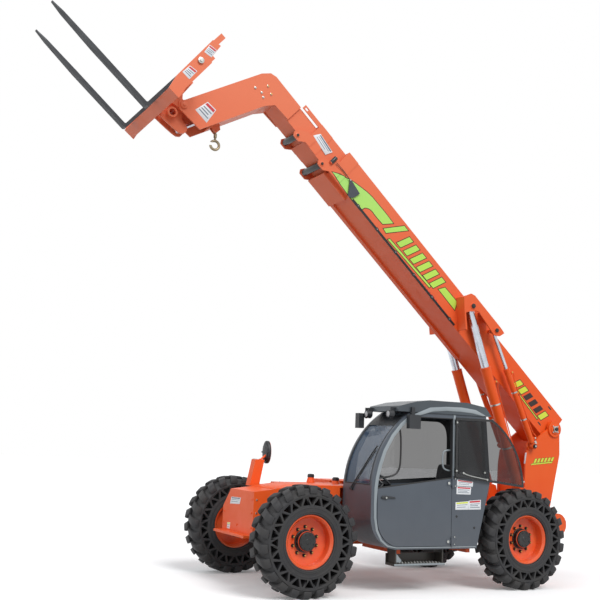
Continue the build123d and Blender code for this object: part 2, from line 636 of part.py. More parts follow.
def boom_outer():
    size = SECTIONS["outer"]
    low, high, half = size["low"], size["high"], size["half"]
    section = boom_box("outer") + collar("outer", 200, 9)
    ear = [(5080, -60), (5080, low), (5220, low), (5290, -262), (5400, -262), (5434, -212), (5400, -150),
           (5290, -60)]
    section = section + roller("outer", 5360, -212, ear)
    end = [(-60, low), (-60, high), (-46, high), (-46, low)]
    section = section + boom_plate(end, -half, half)
    # deeper pan behind the front roller, and a hose tray along the underside
    section = section + boom_plate([(4760, -245), (5240, -245), (5240, low), (4760, low)], -half + 5, 200)
    section = section + boom_plate([(1730, -228), (4760, -228), (4760, low), (1730, low)], -half + 12, -half + 90)
    # side roller at the mouth, on a bracket
    section = section + boom_plate([(5190, -120), (5310, -120), (5310, 40), (5190, 40)], half - 2, half + 10)
    section = section + bar(on_boom(5282, -104), on_boom(5282, 26), 27, half + 26)
    section = section - bar_x(PIVOT, PIVOT_R + 0.4, -300, 300)
    # brackets for the eyes of the side cylinders: outer strap, front plate and top
    strap = [(2565, 140), (2542, 191), (2507, 267), (2442, 296), (1792, 299), (1700, 288), (1728, 196), (1810, 130),
             (2230, 175), (2286, 144), (2398, -23)]
    section = section + both_boom(strap, STRAP_X, STRAP_X + 20)
    front_plate = [(2565, 140), (2398, -23), (2216, -186), (2196, -168), (2380, -5), (2547, 158), (2530, 205),
                   (2542, 191)]
    section = section + both_boom(front_plate, half - 2, STRAP_X + 20)
    saddle = [(2442, high - 6), (2442, 296), (1680, 284), (1640, high - 6)]
    section = section + both_boom(saddle, half - 30, half + 1)
    tie = [(2150, 268), (2150, 296), (1950, 296), (1950, 268)]
    section = section + both_boom(tie, half, STRAP_X + 20)
    # eye pins: where, centre plane, radius, room for the rod's eye
    for eye, middle, radius, room in ((LIFT_EYE, LIFT_X, 34, 62), (SLAVE_EYE, SLAVE_X, 22, 42)):
        for side in (-1, 1):
            for x0, x1 in ((half - 8, middle - room), (middle + room, STRAP_X + 26)):
                section = section + bar_x(on_boom(*eye), radius, *sorted((side * x0, side * x1)))
    return section


def both_boom(points, x0, x1):
    return boom_plate(points, x0, x1) + boom_plate(points, -x1, -x0)


def boom_middle():
    size = SECTIONS["middle"]
    section = boom_box("middle") + collar("middle", 240, 8)
    ear = [(5640, -20), (5640, -158), (5725, -158), (5800, -236), (5900, -236), (5935, -184), (5900, -110),
           (5800, -20)]
    section = section + roller("middle", 5865, -186, ear)
    tongue = [(5600, 170), (6090, 170), (6090, size["high"]), (5600, size["high"])]
    section = section + both_boom(tongue, size["half"] - 12, size["half"])
    slot = [(6010, 186), (6060, 186), (6060, 220), (6010, 220)]
    return section - both_boom(slot, size["half"] - 20, size["half"] + 5)


def boom_inner():
    """Inner section with the drop head: two cheek plates, closed above and below."""
    tube = boom_box("inner")
    pin_along, pin_across = HEAD_PIN
    cheek = [(6110, -135), (6110, 150), (6640, 150), (6724, 117), (6802, 0), (7185, -1144), (7225, -1235),
             (7145, -1300), (6782, -1268), (6455, -289), (6371, -150)]
    head = both_boom(cheek, HEAD_HALF - HEAD_PLATE, HEAD_HALF)
    lid = [(6640, 150), (6724, 117), (6802, 0), (7150, -1040), (7130, -1044), (6784, -6), (6714, 100), (6640, 130)]
    sole = [(6371, -150), (6455, -289), (6713, -1060), (6733, -1054), (6475, -283), (6371, -130)]
    rear_lid = [(6110, 130), (6110, 150), (6640, 150), (6640, 130)]
    head = head + boom_plate(lid, -HEAD_HALF, HEAD_HALF) + boom_plate(sole, -HEAD_HALF, HEAD_HALF)
    head = head + boom_plate(rear_lid, -HEAD_HALF, HEAD_HALF)
    head = head + boom_plate([(6110, -135), (6110, 150), (6130, 150), (6130, -135)], -HEAD_HALF, HEAD_HALF)
    pins = bar_x(on_boom(*HEAD_PIN), HEAD_PIN_R, -HEAD_HALF - 12, HEAD_HALF + 12)
    foot_pin = bar_x(on_boom(*TILT_FOOT), 26, -HEAD_HALF, HEAD_HALF)
    hook_lug = [(6680, -900), (6722, -1030), (6665, -1045), (6610, -1045), (6600, -960)]
    lugs = both_boom(hook_lug, 24, 36)
    hook_pin = bar_x(on_boom(*HOOK_PIN), 14, -40, 40)
    return tube + head + pins + foot_pin + lugs + hook_pin


def angle_indicator():
    """Pendulum plate on the side of the boom that shows its angle."""
    half = SECTIONS["outer"]["half"]
    fan = [(4935, -14), (4915, -40), (4790, -211), (4760, -208), (4723, -182), (4699, -118), (4687, -41),
           (4905, -10)]
    return boom_plate(fan, half + 16, half + 24) + bar_x(on_boom(4915, -22), 7, half, half + 20)


# ---- head, carriage and forks -----------------------------------------------------------------

def carriage_plate(points, x0, x1):
    """Plate with its outline given forward and up from the head pin, square to the forks."""
    return plate([on_carriage(*point) for point in points], x0, x1)


def carriage():
    side = [(282, -367), (327, -173), (348, 530), (230, 560), (206, 359), (153, 303), (144, -199), (114, -361)]
    left = carriage_plate(side, CARRIAGE_HALF - 25, CARRIAGE_HALF)
    right = carriage_plate(side, -CARRIAGE_HALF, 25 - CARRIAGE_HALF)
    low_beam = carriage_plate([(282, -367), (282, -250), (128, -250), (128, -361)], -CARRIAGE_HALF, CARRIAGE_HALF)
    high_beam = carriage_plate([(225, 300), (225, 380), (165, 380), (165, 300)], -CARRIAGE_HALF, CARRIAGE_HALF)
    shaft = bar_x(on_carriage(*SHAFT), SHAFT_R, -CARRIAGE_HALF - 15, CARRIAGE_HALF + 15)
    tabs = [(262, 545), (262, 692), (338, 692), (338, 525)]
    frame = left + right + low_beam + high_beam + shaft
    frame = frame + carriage_plate(tabs, CARRIAGE_HALF - 25, CARRIAGE_HALF - 10)
    return frame + carriage_plate(tabs, 10 - CARRIAGE_HALF, 25 - CARRIAGE_HALF)


def coupler():
    """Quick coupler between the head and the carriage: two cheeks and a cross tube."""
    cheek = [(128, -305), (128, -250), (165, -250), (165, 380), (128, 380), (112, 150), (50, 76), (-20, 62),
             (-62, 20), (-66, -40), (-110, -110), (-230, -126), (-262, -160), (-262, -222), (-222, -262),
             (-150, -278), (-50, -290)]
    tube_at = on_carriage(*LOCK_TUBE)
    body = both_carriage(cheek, CHEEK_IN, CHEEK_IN + 24)
    body = body + bar_x(tube_at, 68, -155, 155) - bar_x(tube_at, 44, -160, 160)
    # wide ears that carry the head pin, inside the head's own cheeks
    boss = [(150, -90), (150, 70), (60, 62), (-20, 62), (-62, 20), (-58, -34), (-20, -62), (60, -70)]
    body = body + both_carriage(boss, CHEEK_IN, 160) - bar_x(tube_at, 44, -160, 160)
    for x0, x1 in ((44, CHEEK_IN + 5), (-CHEEK_IN - 5, -44)):
        body = body + bar_x(on_carriage(*TILT_EYE), 26, x0, x1)
    return body - bar_x(on_carriage(0, 0), HEAD_PIN_R + 0.05, -170, 170)


def both_carriage(points, x0, x1):
    return carriage_plate(points, x0, x1) + carriage_plate(points, -x1, -x0)


def forks():
    """Pair of pallet forks hung on the shaft."""
    shank_front = SHANK_BACK + FORK_THICK
    top = FORK_LOW + FORK_THICK
    tip = SHANK_BACK + FORK_LONG
    blade = [(SHANK_BACK, SHAFT[1] - 40), (SHANK_BACK, FORK_LOW + 22), (SHANK_BACK + 22, FORK_LOW),
             (tip - 700, FORK_LOW), (tip, FORK_LOW + 26), (tip, FORK_LOW + 38), (tip - 700, top),
             (shank_front + 12, top), (shank_front, top + 12), (shank_front, SHAFT[1] - 40)]
    bore = bar_x(on_carriage(*SHAFT), SHAFT_R + 0.5, -900, 900)
    pair = []
    for middle in FORK_X.values():
        x0, x1 = middle - FORK_WIDE / 2, middle + FORK_WIDE / 2
        body = carriage_plate(blade, x0, x1)
        # tip tapered in plan
        for edge, inward in ((x0, 1), (x1, -1)):
            outline = [(edge, 0), (edge, 170), (edge + inward * 30, 0)]
            cut = carriage_frame(tip) * extrude(make_face(Polyline(*outline, close=True)), 200, both=True)
            body = body - cut
        pair.append(body + bar_x(on_carriage(*SHAFT), 56, x0, x1) - bore)
    return Compound(children=pair)


def carriage_frame(forward):
    """Plane along the forks' blades, its Y axis running back from that distance."""
    y, z = on_carriage(forward, FORK_LOW)
    turn = math.radians(FORK_DEG)
    return Plane(origin=(0, y, z), x_dir=(1, 0, 0), z_dir=(0, math.sin(turn), math.cos(turn)))


def hook():
    """Lifting hook that hangs from its pin under the head."""
    y, z = on_boom(*HOOK_PIN)
    eye = bar_x((y, z), 30, -22, 22) - bar_x((y, z), 14.05, -23, 23)
    shank = Pos(0, y, z - 85) * Cylinder(15, 122)
    nut = Pos(0, y, z - 75) * Cylinder(22, 50)
    bow = Pos(0, y, z - 205) * Rot(0, 90, 0) * Torus(60, 18)
    throat = block(-30, 30, y - 90, y - 20, z - 215, z - 165)
    return eye + nut + (shank + (bow - throat))


# ---- cylinders ---------------------------------------------------------------------------------

# foot and eye, barrel radius, rod radius, foot pin radius, barrel length, how far up the barrel the rod
# starts as it stands, and half the width of the foot's lug and of the rod's eye
CYLINDERS = {
    "lift": dict(foot=LIFT_FOOT, eye=LIFT_EYE, barrel_r=76, rod_r=58, pin_r=34, barrel=1865, start=1000, half=58),
    "slave": dict(foot=SLAVE_FOOT, eye=SLAVE_EYE, barrel_r=44, rod_r=26, pin_r=22, barrel=1218, start=800, half=28),
    "tilt": dict(foot=TILT_FOOT, eye=TILT_EYE, barrel_r=46, rod_r=28, pin_r=26, barrel=760, start=560, half=36),
}


def cylinder_line(kind):
    """Foot and rod eye of a cylinder as (y, z)."""
    shape = CYLINDERS[kind]
    if kind == "tilt":
        return on_boom(*shape["foot"]), on_carriage(*shape["eye"])
    return shape["foot"], on_boom(*shape["eye"])


def barrel(kind, x):
    shape = CYLINDERS[kind]
    foot, eye = cylinder_line(kind)
    whole = math.dist(foot, eye)
    end = between(foot, eye, shape["barrel"] / whole)
    floor = between(foot, eye, 110 / whole)
    past = between(foot, eye, (shape["barrel"] + 5) / whole)
    collar_start = between(foot, eye, (shape["barrel"] - 60) / whole)
    heel = between(foot, eye, 60 / whole)
    half = shape["half"]
    body = bar(heel, end, shape["barrel_r"], x) + bar(collar_start, end, shape["barrel_r"] + 2, x)
    body = body - bar(floor, past, shape["rod_r"] + 1, x)
    lug = bar_x(foot, shape["pin_r"] + 24, x - half, x + half)
    neck = bar(foot, heel, shape["pin_r"], x)
    return body + (neck + lug) - bar_x(foot, shape["pin_r"] + 0.05, x - half - 60, x + half + 60)


def rod(kind, x):
    shape = CYLINDERS[kind]
    foot, eye = cylinder_line(kind)
    start = between(foot, eye, shape["start"] / math.dist(foot, eye))
    half = shape["half"]
    # the rod stops short of its eye, and a narrower neck joins them
    neck = between(foot, eye, 1 - 80 / math.dist(foot, eye))
    stem = bar(start, neck, shape["rod_r"], x) + bar(neck, eye, shape["pin_r"], x)
    return stem + bar_x(eye, shape["pin_r"] + 20, x - half, x + half)


# ---- the whole machine --------------------------------------------------------------------------

def machine():
    """Every node by name, in the modelling frame."""
    nodes = {
        "chassis_rails": chassis_rails(), "cross_plates": cross_plates(), "nose_housing": nose_housing(),
        "boom_pivot_pin": pivot_pin(), "counterweight": counterweight(), "transmission": transmission(),
        "engine_block": engine_block(), "engine_box": engine_box(), "engine_lid": engine_lid(),
        "fuel_tank": fuel_tank(), "nose_mirror": nose_mirror(), "cab_shell": cab_shell(),
        "cab_top_frame": cab_top_frame(), "cab_roof": cab_roof(), "windscreen": windscreen(),
        "cab_glass": cab_glass(), "cab_door": cab_door(), "door_hinges": door_hinges(),
        "door_window": door_window(), "seat": seat(), "dashboard": dashboard(), "entry_step": entry_step(),
        "cab_mirrors": cab_mirrors(), "work_lights": work_lights(), "boom_outer": boom_outer(),
        "boom_middle": boom_middle(), "boom_inner": boom_inner(), "angle_indicator": angle_indicator(),
        "carriage": carriage(), "coupler": coupler(), "forks": forks(), "hook": hook(),
        "tilt_barrel": barrel("tilt", 0), "tilt_rod": rod("tilt", 0),
    }
    for end, y in AXLE_Y.items():
        nodes[end + "_axle"] = axle(y, 1 if end == "front" else -1)
        for side, x in (("left", TRACK_X), ("right", -TRACK_X)):
            name = end + "_" + side
            nodes[name + "_knuckle"] = knuckle(x, y)
            nodes[name + "_rim"] = rim(x, y)
            nodes[name + "_tyre"] = tyre(x, y)
    for side, sign in (("left", 1), ("right", -1)):
        for kind, x in (("lift", LIFT_X), ("slave", SLAVE_X)):
            nodes[kind + "_barrel_" + side] = barrel(kind, sign * x)
            nodes[kind + "_rod_" + side] = rod(kind, sign * x)
    return nodes


def main():
    nodes = machine()
    boxes = [node.bounding_box() for node in nodes.values()]
    middle = (min(box.min.Y for box in boxes) + max(box.max.Y for box in boxes)) / 2
    print("front axle at y =", round(-middle, 3))
    os.makedirs("parts", exist_ok=True)
    for name, node in nodes.items():
        export_step(Pos(0, -middle, 0) * node, "parts/" + name + ".step")


main()
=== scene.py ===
import bpy, bmesh, math
from mathutils import Vector, Matrix


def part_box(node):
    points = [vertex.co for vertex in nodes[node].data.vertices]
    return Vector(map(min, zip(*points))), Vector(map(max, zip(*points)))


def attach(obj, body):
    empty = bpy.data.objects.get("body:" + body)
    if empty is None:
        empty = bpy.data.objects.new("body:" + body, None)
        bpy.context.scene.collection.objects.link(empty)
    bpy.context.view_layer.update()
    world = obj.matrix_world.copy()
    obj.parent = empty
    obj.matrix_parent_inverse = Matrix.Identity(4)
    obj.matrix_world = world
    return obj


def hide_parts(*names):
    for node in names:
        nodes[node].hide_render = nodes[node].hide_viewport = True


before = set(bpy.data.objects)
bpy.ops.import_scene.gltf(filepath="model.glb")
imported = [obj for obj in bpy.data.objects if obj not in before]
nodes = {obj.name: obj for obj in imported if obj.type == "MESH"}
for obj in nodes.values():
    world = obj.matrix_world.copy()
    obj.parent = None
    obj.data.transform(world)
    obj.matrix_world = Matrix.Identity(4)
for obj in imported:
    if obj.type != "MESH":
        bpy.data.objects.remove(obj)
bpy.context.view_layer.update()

# Places are written from the front axle's middle: x to the machine's left, y to its rear, z up from the ground.
tyreLow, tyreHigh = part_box("front_left_tyre")
axleY = (tyreLow.y + tyreHigh.y) / 2
machine = Matrix.Translation((0, axleY, 0))


def leanFrame(origin, degrees):
    # axes: along the boom or forks, to the machine's left, square to both
    turn = math.radians(degrees)
    axes = Matrix(((0, -math.cos(turn), math.sin(turn)), (1, 0, 0), (0, math.sin(turn), math.cos(turn))))
    return Matrix.Translation(origin) @ axes.transposed().to_4x4()


boomFrame = leanFrame(machine @ Vector((0, 4.6, 2.167)), 42)
carriageFrame = leanFrame(boomFrame @ Vector((7.145, 0, -1.221)), 39.7)
# outlines drawn as (rear, up) or (along, up), with their thickness to the left
sideDraw = Matrix(((0, 0, 1, 0), (1, 0, 0, 0), (0, 1, 0, 0), (0, 0, 0, 1)))
boomDraw = Matrix(((1, 0, 0, 0), (0, 0, 1, 0), (0, 1, 0, 0), (0, 0, 0, 1)))


cameraSet = dict(place=(11.046, -5.2569, 1.792), azimuth=63.02, pitch=8.86, roll=2.41, lens=55.27, sensor=36)


# puts a camera, lamp or mesh in the scene
def linked(name, data):
    holder = bpy.data.objects.new(name, data)
    bpy.context.scene.collection.objects.link(holder)
    return holder


def meshOf(bm, name):
    mesh = bpy.data.meshes.new(name)
    bm.to_mesh(mesh)
    return mesh


def addCamera():
    data = bpy.data.cameras.new("camera")
    data.lens = cameraSet["lens"]
    data.sensor_width = cameraSet["sensor"]
    data.clip_end = 400
    camera = linked("camera", data)
    camera.location = machine @ Vector(cameraSet["place"])
    turn = Matrix.Rotation(math.radians(cameraSet["azimuth"]), 4, "Z")
    turn = turn @ Matrix.Rotation(math.radians(90 + cameraSet["pitch"]), 4, "X")
    turn = turn @ Matrix.Rotation(math.radians(cameraSet["roll"]), 4, "Z")
    camera.rotation_euler = turn.to_euler()
    bpy.context.scene.camera = camera


# every colour in this file is written as an sRGB hex value
def toLinear(colour):
    values = [int(colour[i:i + 2], 16) / 255 for i in (1, 3, 5)]
    return [v / 12.92 if v <= 0.04045 else ((v + 0.055) / 1.055) ** 2.4 for v in values] + [1]


# adds one shader node: lower-case settings are its own properties, the others are its sockets by name
# or number, and a node given as a link stands for its first output
def addNode(tree, kind, settings=None, links=None):
    node = tree.nodes.new("ShaderNode" + kind)
    for key, value in (settings or {}).items():
        if isinstance(key, str) and key[0].islower():
            setattr(node, key, value)
        else:
            node.inputs[key].default_value = value
    for key, source in (links or {}).items():
        source = source.outputs[0] if isinstance(source, bpy.types.Node) else source
        tree.links.new(source, node.inputs[key])
    return node


lightSet = dict(skyStrength=0.55, skyColour="#F4F6FA", keyPower=1.95, keyAngle=28, keyTurn=(46, 0, 96),
        fillPower=0.85, fillTurn=(58, 0, 10), floorSize=120, floorColour="#FAFAFA")


def addStage():
    scene = bpy.context.scene
    scene.view_settings.view_transform = "Standard"
    world = bpy.data.worlds.new("world")
    scene.world = world
    world.use_nodes = True
    tree = world.node_tree
    tree.nodes.clear()
    path = addNode(tree, "LightPath")
    straight = addNode(tree, "Math", {"operation": "MAXIMUM"}, {0: path.outputs["Is Camera Ray"],
            1: path.outputs["Is Transmission Ray"]})
    seen = addNode(tree, "Math", {"operation": "MAXIMUM"}, {0: straight, 1: path.outputs["Is Glossy Ray"]})
    glow = addNode(tree, "Background", {"Color": toLinear(lightSet["skyColour"]),
            "Strength": lightSet["skyStrength"]})
    white = addNode(tree, "Background", {"Color": (1, 1, 1, 1), "Strength": 1.0})
    mixed = addNode(tree, "MixShader", None, {0: seen, 1: glow, 2: white})
    addNode(tree, "OutputWorld", None, {"Surface": mixed})
    for name, power, angle, turn in (("key", lightSet["keyPower"], lightSet["keyAngle"], lightSet["keyTurn"]),
            ("fill", lightSet["fillPower"], 60, lightSet["fillTurn"])):
        lamp = bpy.data.lights.new(name, "SUN")
        lamp.energy = power
        lamp.angle = math.radians(angle)
        linked(name, lamp).rotation_euler = [math.radians(v) for v in turn]
    bm = bmesh.new()
    bmesh.ops.create_grid(bm, x_segments=1, y_segments=1, size=lightSet["floorSize"] / 2)
    floor = linked("floor", meshOf(bm, "floor"))
    bm.free()
    paper = bpy.data.materials.new("whitePaperFloor")   # matt, so that only the soft shadow shows
    paper.use_nodes = True
    tree = paper.node_tree
    tree.nodes.clear()
    path = addNode(tree, "LightPath")
    matt = addNode(tree, "BsdfDiffuse", {"Color": toLinear(lightSet["floorColour"])})
    bounce = addNode(tree, "BsdfDiffuse", {"Color": toLinear("#A9A9A7")})
    lit = addNode(tree, "Emission", {"Color": (1, 1, 1, 1), "Strength": 0.12})
    both = addNode(tree, "AddShader", None, {0: matt, 1: lit})
    seen = addNode(tree, "Math", {"operation": "MAXIMUM"}, {0: path.outputs["Is Camera Ray"],
            1: path.outputs["Is Glossy Ray"]})
    shown = addNode(tree, "MixShader", None, {0: seen, 1: bounce, 2: both})
    addNode(tree, "OutputMaterial", None, {"Surface": shown})
    floor.data.materials.append(paper)


addCamera()
addStage()
print("stage: camera, light and floor are set")


materials = {}


# empty material: its tree and the place on the piece
def newMaterial(name):
    material = bpy.data.materials.new(name)
    material.use_nodes = True
    material.node_tree.nodes.clear()
    materials[name] = material
    return material.node_tree, addNode(material.node_tree, "TexCoord").outputs["Object"]


# Sprayed enamel on steel plate: a slight orange peel, soft clouds of fading, dust that gathers low down, and,
# where given, a painted highlight that makes the paint paler high up.
def sprayedPaint(name, colour, faded, roughness=0.34, dust=0.22, dustTop=1.4, cloud=1.3, coat=0.25,
        high=None):
    tree, where = newMaterial(name)
    clouds = addNode(tree, "TexNoise", {"Scale": cloud, "Detail": 3.0, "Roughness": 0.55}, {"Vector": where})
    spread = addNode(tree, "MapRange", {"From Min": 0.35, "From Max": 0.7, "To Min": 0.0, "To Max": 1.0},
            {"Value": clouds.outputs["Fac"]})
    base = addNode(tree, "Mix", {"data_type": "RGBA", 6: toLinear(colour), 7: toLinear(faded)},
            {0: spread}).outputs[2]
    height = addNode(tree, "SeparateXYZ", None, {0: where}).outputs["Z"]
    if high:   # painted highlight: paint high up is mixed towards a paler colour for the light and haze that fall there
        highUpHighlight = addNode(tree, "MapRange", {"From Min": high[1], "From Max": high[2]}, {"Value": height})
        base = addNode(tree, "Mix", {"data_type": "RGBA", 7: toLinear(high[0])}, {0: highUpHighlight, 6: base}).outputs[2]
    low = addNode(tree, "MapRange", {"From Min": dustTop, "From Max": 0.25, "To Min": 0.0, "To Max": dust},
            {"Value": height})
    specks = addNode(tree, "TexNoise", {"Scale": 7.0, "Detail": 5.0, "Roughness": 0.62}, {"Vector": where})
    dirt = addNode(tree, "Math", {"operation": "MULTIPLY", "use_clamp": True},
            {0: low, 1: specks.outputs["Fac"]})
    painted = addNode(tree, "Mix", {"data_type": "RGBA", 7: toLinear("#8A7C6A")}, {0: dirt, 6: base}).outputs[2]
    peel = addNode(tree, "TexNoise", {"Scale": 260.0, "Detail": 2.0}, {"Vector": where})   # 4 mm orange peel
    bump = addNode(tree, "Bump", {"Strength": 0.05, "Distance": 0.002}, {"Height": peel.outputs["Fac"]})
    rough = addNode(tree, "MapRange", {"From Min": 0.3, "From Max": 0.7, "To Min": roughness - 0.05,
            "To Max": roughness + 0.09}, {"Value": specks.outputs["Fac"]})
    shader = addNode(tree, "BsdfPrincipled", {"IOR": 1.4, "Coat Weight": coat, "Coat Roughness": 0.16},
            {"Base Color": painted, "Roughness": rough, "Normal": bump})
    addNode(tree, "OutputMaterial", None, {"Surface": shader})


sprayedPaint("orangeEnamel", "#E85412", "#EB5D1E", roughness=0.44, coat=0.05)
# the boom's paint is painted paler high up: painted highlight
sprayedPaint("boomEnamel", "#E75314", "#E95B20", roughness=0.44, dust=0.0, coat=0.05,
        high=("#EA7A54", 3.0, 6.4))
sprayedPaint("rimEnamel", "#EA4F1A", "#EE6028", roughness=0.3, dust=0.3, dustTop=1.0, cloud=4.0)
sprayedPaint("cabEnamel", "#4D545D", "#545C65", roughness=0.4, dust=0.15, dustTop=1.2)
sprayedPaint("roofEnamel", "#42494F", "#4C545A", roughness=0.42, dust=0.0)
# pale grey enamel; the strips on the cab's front pillar, rear door post and roof edge use it as painted
# highlight
sprayedPaint("trimEnamel", "#8E979C", "#A0A8AC", roughness=0.32, dust=0.1)
sprayedPaint("blackEnamel", "#1A1A1B", "#242425", roughness=0.42, dust=0.25, dustTop=0.9)
# the lime stripes are painted paler high up: painted highlight
sprayedPaint("limeVinyl", "#B6E356", "#C4EA5C", roughness=0.4, dust=0.0, coat=0.1,
        high=("#A9E27C", 4.4, 5.8))
sprayedPaint("yellowVinyl", "#D9E03C", "#CFE04A", roughness=0.4, dust=0.0, coat=0.1)
sprayedPaint("darkVinyl", "#33201A", "#2A1C18", roughness=0.45, dust=0.0, coat=0.1)
sprayedPaint("whiteVinyl", "#E9ECEF", "#DDE3E8", roughness=0.4, dust=0.05, coat=0.1)
sprayedPaint("redVinyl", "#C9353D", "#D2424A", roughness=0.4, dust=0.05, coat=0.1)
sprayedPaint("inkVinyl", "#6F7A86", "#8A94A0", roughness=0.5, dust=0.0, coat=0.05)


# Metals: fine streaks from machining or drawing vary the gloss; cast skins are pitted.
def barMetal(name, colour, dark, metallic, roughness, grain, stretch=(1, 1, 1), depth=0.02, spread=0.08):
    tree, where = newMaterial(name)
    drawn = addNode(tree, "Mapping", {"Scale": stretch}, {"Vector": where})
    lines = addNode(tree, "TexNoise", {"Scale": grain, "Detail": 4.0, "Roughness": 0.6}, {"Vector": drawn})
    soft = addNode(tree, "TexNoise", {"Scale": 9.0, "Detail": 3.0}, {"Vector": where})
    shade = addNode(tree, "MapRange", {"From Min": 0.35, "From Max": 0.75}, {"Value": soft.outputs["Fac"]})
    colourMix = addNode(tree, "Mix", {"data_type": "RGBA", 6: toLinear(colour), 7: toLinear(dark)}, {0: shade})
    rough = addNode(tree, "MapRange", {"From Min": 0.3, "From Max": 0.7, "To Min": roughness - spread,
            "To Max": roughness + spread}, {"Value": lines.outputs["Fac"]})
    bump = addNode(tree, "Bump", {"Strength": depth * 10, "Distance": 0.001}, {"Height": lines.outputs["Fac"]})
    shader = addNode(tree, "BsdfPrincipled", {"Metallic": metallic}, {"Base Color": colourMix.outputs[2],
            "Roughness": rough, "Normal": bump})
    addNode(tree, "OutputMaterial", None, {"Surface": shader})


# ground piston rods
barMetal("hardChrome", "#C9CED6", "#B4BAC4", 1.0, 0.24, 90.0, (1, 1, 1), 0.004)
barMetal("zincPlate", "#C2C4C0", "#9FA19D", 1.0, 0.34, 160.0)   # plated bolts and pins
barMetal("brass", "#C8A25A", "#A98243", 1.0, 0.36, 160.0)   # stud ends
barMetal("forgedHook", "#9C8F76", "#6E6453", 0.85, 0.46, 120.0, depth=0.05)   # scaled forging
barMetal("castIron", "#161617", "#242322", 0.0, 0.55, 190.0, depth=0.08)   # painted rough casting
barMetal("oilyIron", "#101112", "#1C1D1E", 0.0, 0.38, 60.0, depth=0.03)   # hub drum under grease
# rolled bar
barMetal("forkSteel", "#33363A", "#26282B", 0.35, 0.46, 40.0, (1, 0.15, 0.15), 0.03, 0.12)
barMetal("indicatorSteel", "#474C52", "#3B4046", 0.4, 0.45, 150.0)


# Rubber: carbon black, dull, with a bloom of dust in soft patches
def rubberSkin(name, colour, bloom, roughness, grain, amount):
    tree, where = newMaterial(name)
    dust = addNode(tree, "TexNoise", {"Scale": 5.0, "Detail": 7.0, "Roughness": 0.65}, {"Vector": where})
    spread = addNode(tree, "MapRange", {"From Min": 0.42, "From Max": 0.72, "To Max": amount},
            {"Value": dust.outputs["Fac"]})
    mixed = addNode(tree, "Mix", {"data_type": "RGBA", 6: toLinear(colour), 7: toLinear(bloom)}, {0: spread})
    fine = addNode(tree, "TexNoise", {"Scale": grain, "Detail": 3.0}, {"Vector": where})
    bump = addNode(tree, "Bump", {"Strength": 0.18, "Distance": 0.0015}, {"Height": fine.outputs["Fac"]})
    rough = addNode(tree, "MapRange", {"From Min": 0.3, "From Max": 0.7, "To Min": roughness - 0.08,
            "To Max": roughness + 0.08}, {"Value": dust.outputs["Fac"]})
    shader = addNode(tree, "BsdfPrincipled", {"IOR": 1.52}, {"Base Color": mixed.outputs[2], "Roughness": rough,
            "Normal": bump})
    addNode(tree, "OutputMaterial", None, {"Surface": shader})


rubberSkin("tyreRubber", "#1E1E21", "#383634", 0.68, 220.0, 0.7)
rubberSkin("sealRubber", "#17181A", "#242526", 0.55, 300.0, 0.5)       # glass and door seals
rubberSkin("hoseRubber", "#151617", "#232323", 0.48, 240.0, 0.5)       # hydraulic hose cover
rubberSkin("mouldedPlastic", "#1F2226", "#2A2D31", 0.46, 420.0, 0.6)   # textured moulding
rubberSkin("rollerPolymer", "#121314", "#1B1C1D", 0.36, 90.0, 0.4)     # turned nylon sleeve


# Glass: a thin tinted pane that lets light straight through; both of its faces dim what is behind it
def tintedPane(name, colour, cover, roughness):
    tree, where = newMaterial(name)
    smear = addNode(tree, "TexNoise", {"Scale": 3.0, "Detail": 4.0}, {"Vector": where})
    film = addNode(tree, "MapRange", {"From Min": 0.4, "From Max": 0.7, "To Min": roughness,
            "To Max": roughness + 0.05}, {"Value": smear.outputs["Fac"]})
    shader = addNode(tree, "BsdfPrincipled", {"Base Color": toLinear(colour), "IOR": 1.5, "Alpha": cover},
            {"Roughness": film})
    addNode(tree, "OutputMaterial", None, {"Surface": shader})


tintedPane("smokedGlass", "#14161A", 0.53, 0.03)
# the windscreen's blue colour is painted reflection of the surroundings on the glass
tintedPane("screenGlass", "#4A6079", 0.42, 0.03)
tintedPane("lampGlass", "#E8ECF0", 0.55, 0.12)
tintedPane("redLens", "#A3161B", 0.9, 0.2)
barMetal("mirrorSilver", "#E2E6EA", "#D6DADE", 1.0, 0.09, 30.0, depth=0.0, spread=0.02)


# Seat cover: woven cloth over foam, 3 mm threads drawn coarse enough to show
def seatWeave():
    tree, where = newMaterial("seatCloth")
    warp = addNode(tree, "TexWave", {"wave_type": "BANDS", "bands_direction": "X", "Scale": 52.0},
            {"Vector": where})
    weft = addNode(tree, "TexWave", {"wave_type": "BANDS", "bands_direction": "Y", "Scale": 52.0},
            {"Vector": where})
    weave = addNode(tree, "Math", {"operation": "MULTIPLY"}, {0: warp.outputs["Fac"], 1: weft.outputs["Fac"]})
    mixed = addNode(tree, "Mix", {"data_type": "RGBA", 6: toLinear("#15161A"), 7: toLinear("#2B2D33")},
            {0: weave})
    bump = addNode(tree, "Bump", {"Strength": 0.35, "Distance": 0.002}, {"Height": weave})
    shader = addNode(tree, "BsdfPrincipled", {"Roughness": 0.85, "Sheen Weight": 0.3, "Sheen Roughness": 0.5},
            {"Base Color": mixed.outputs[2], "Normal": bump})
    addNode(tree, "OutputMaterial", None, {"Surface": shader})


seatWeave()

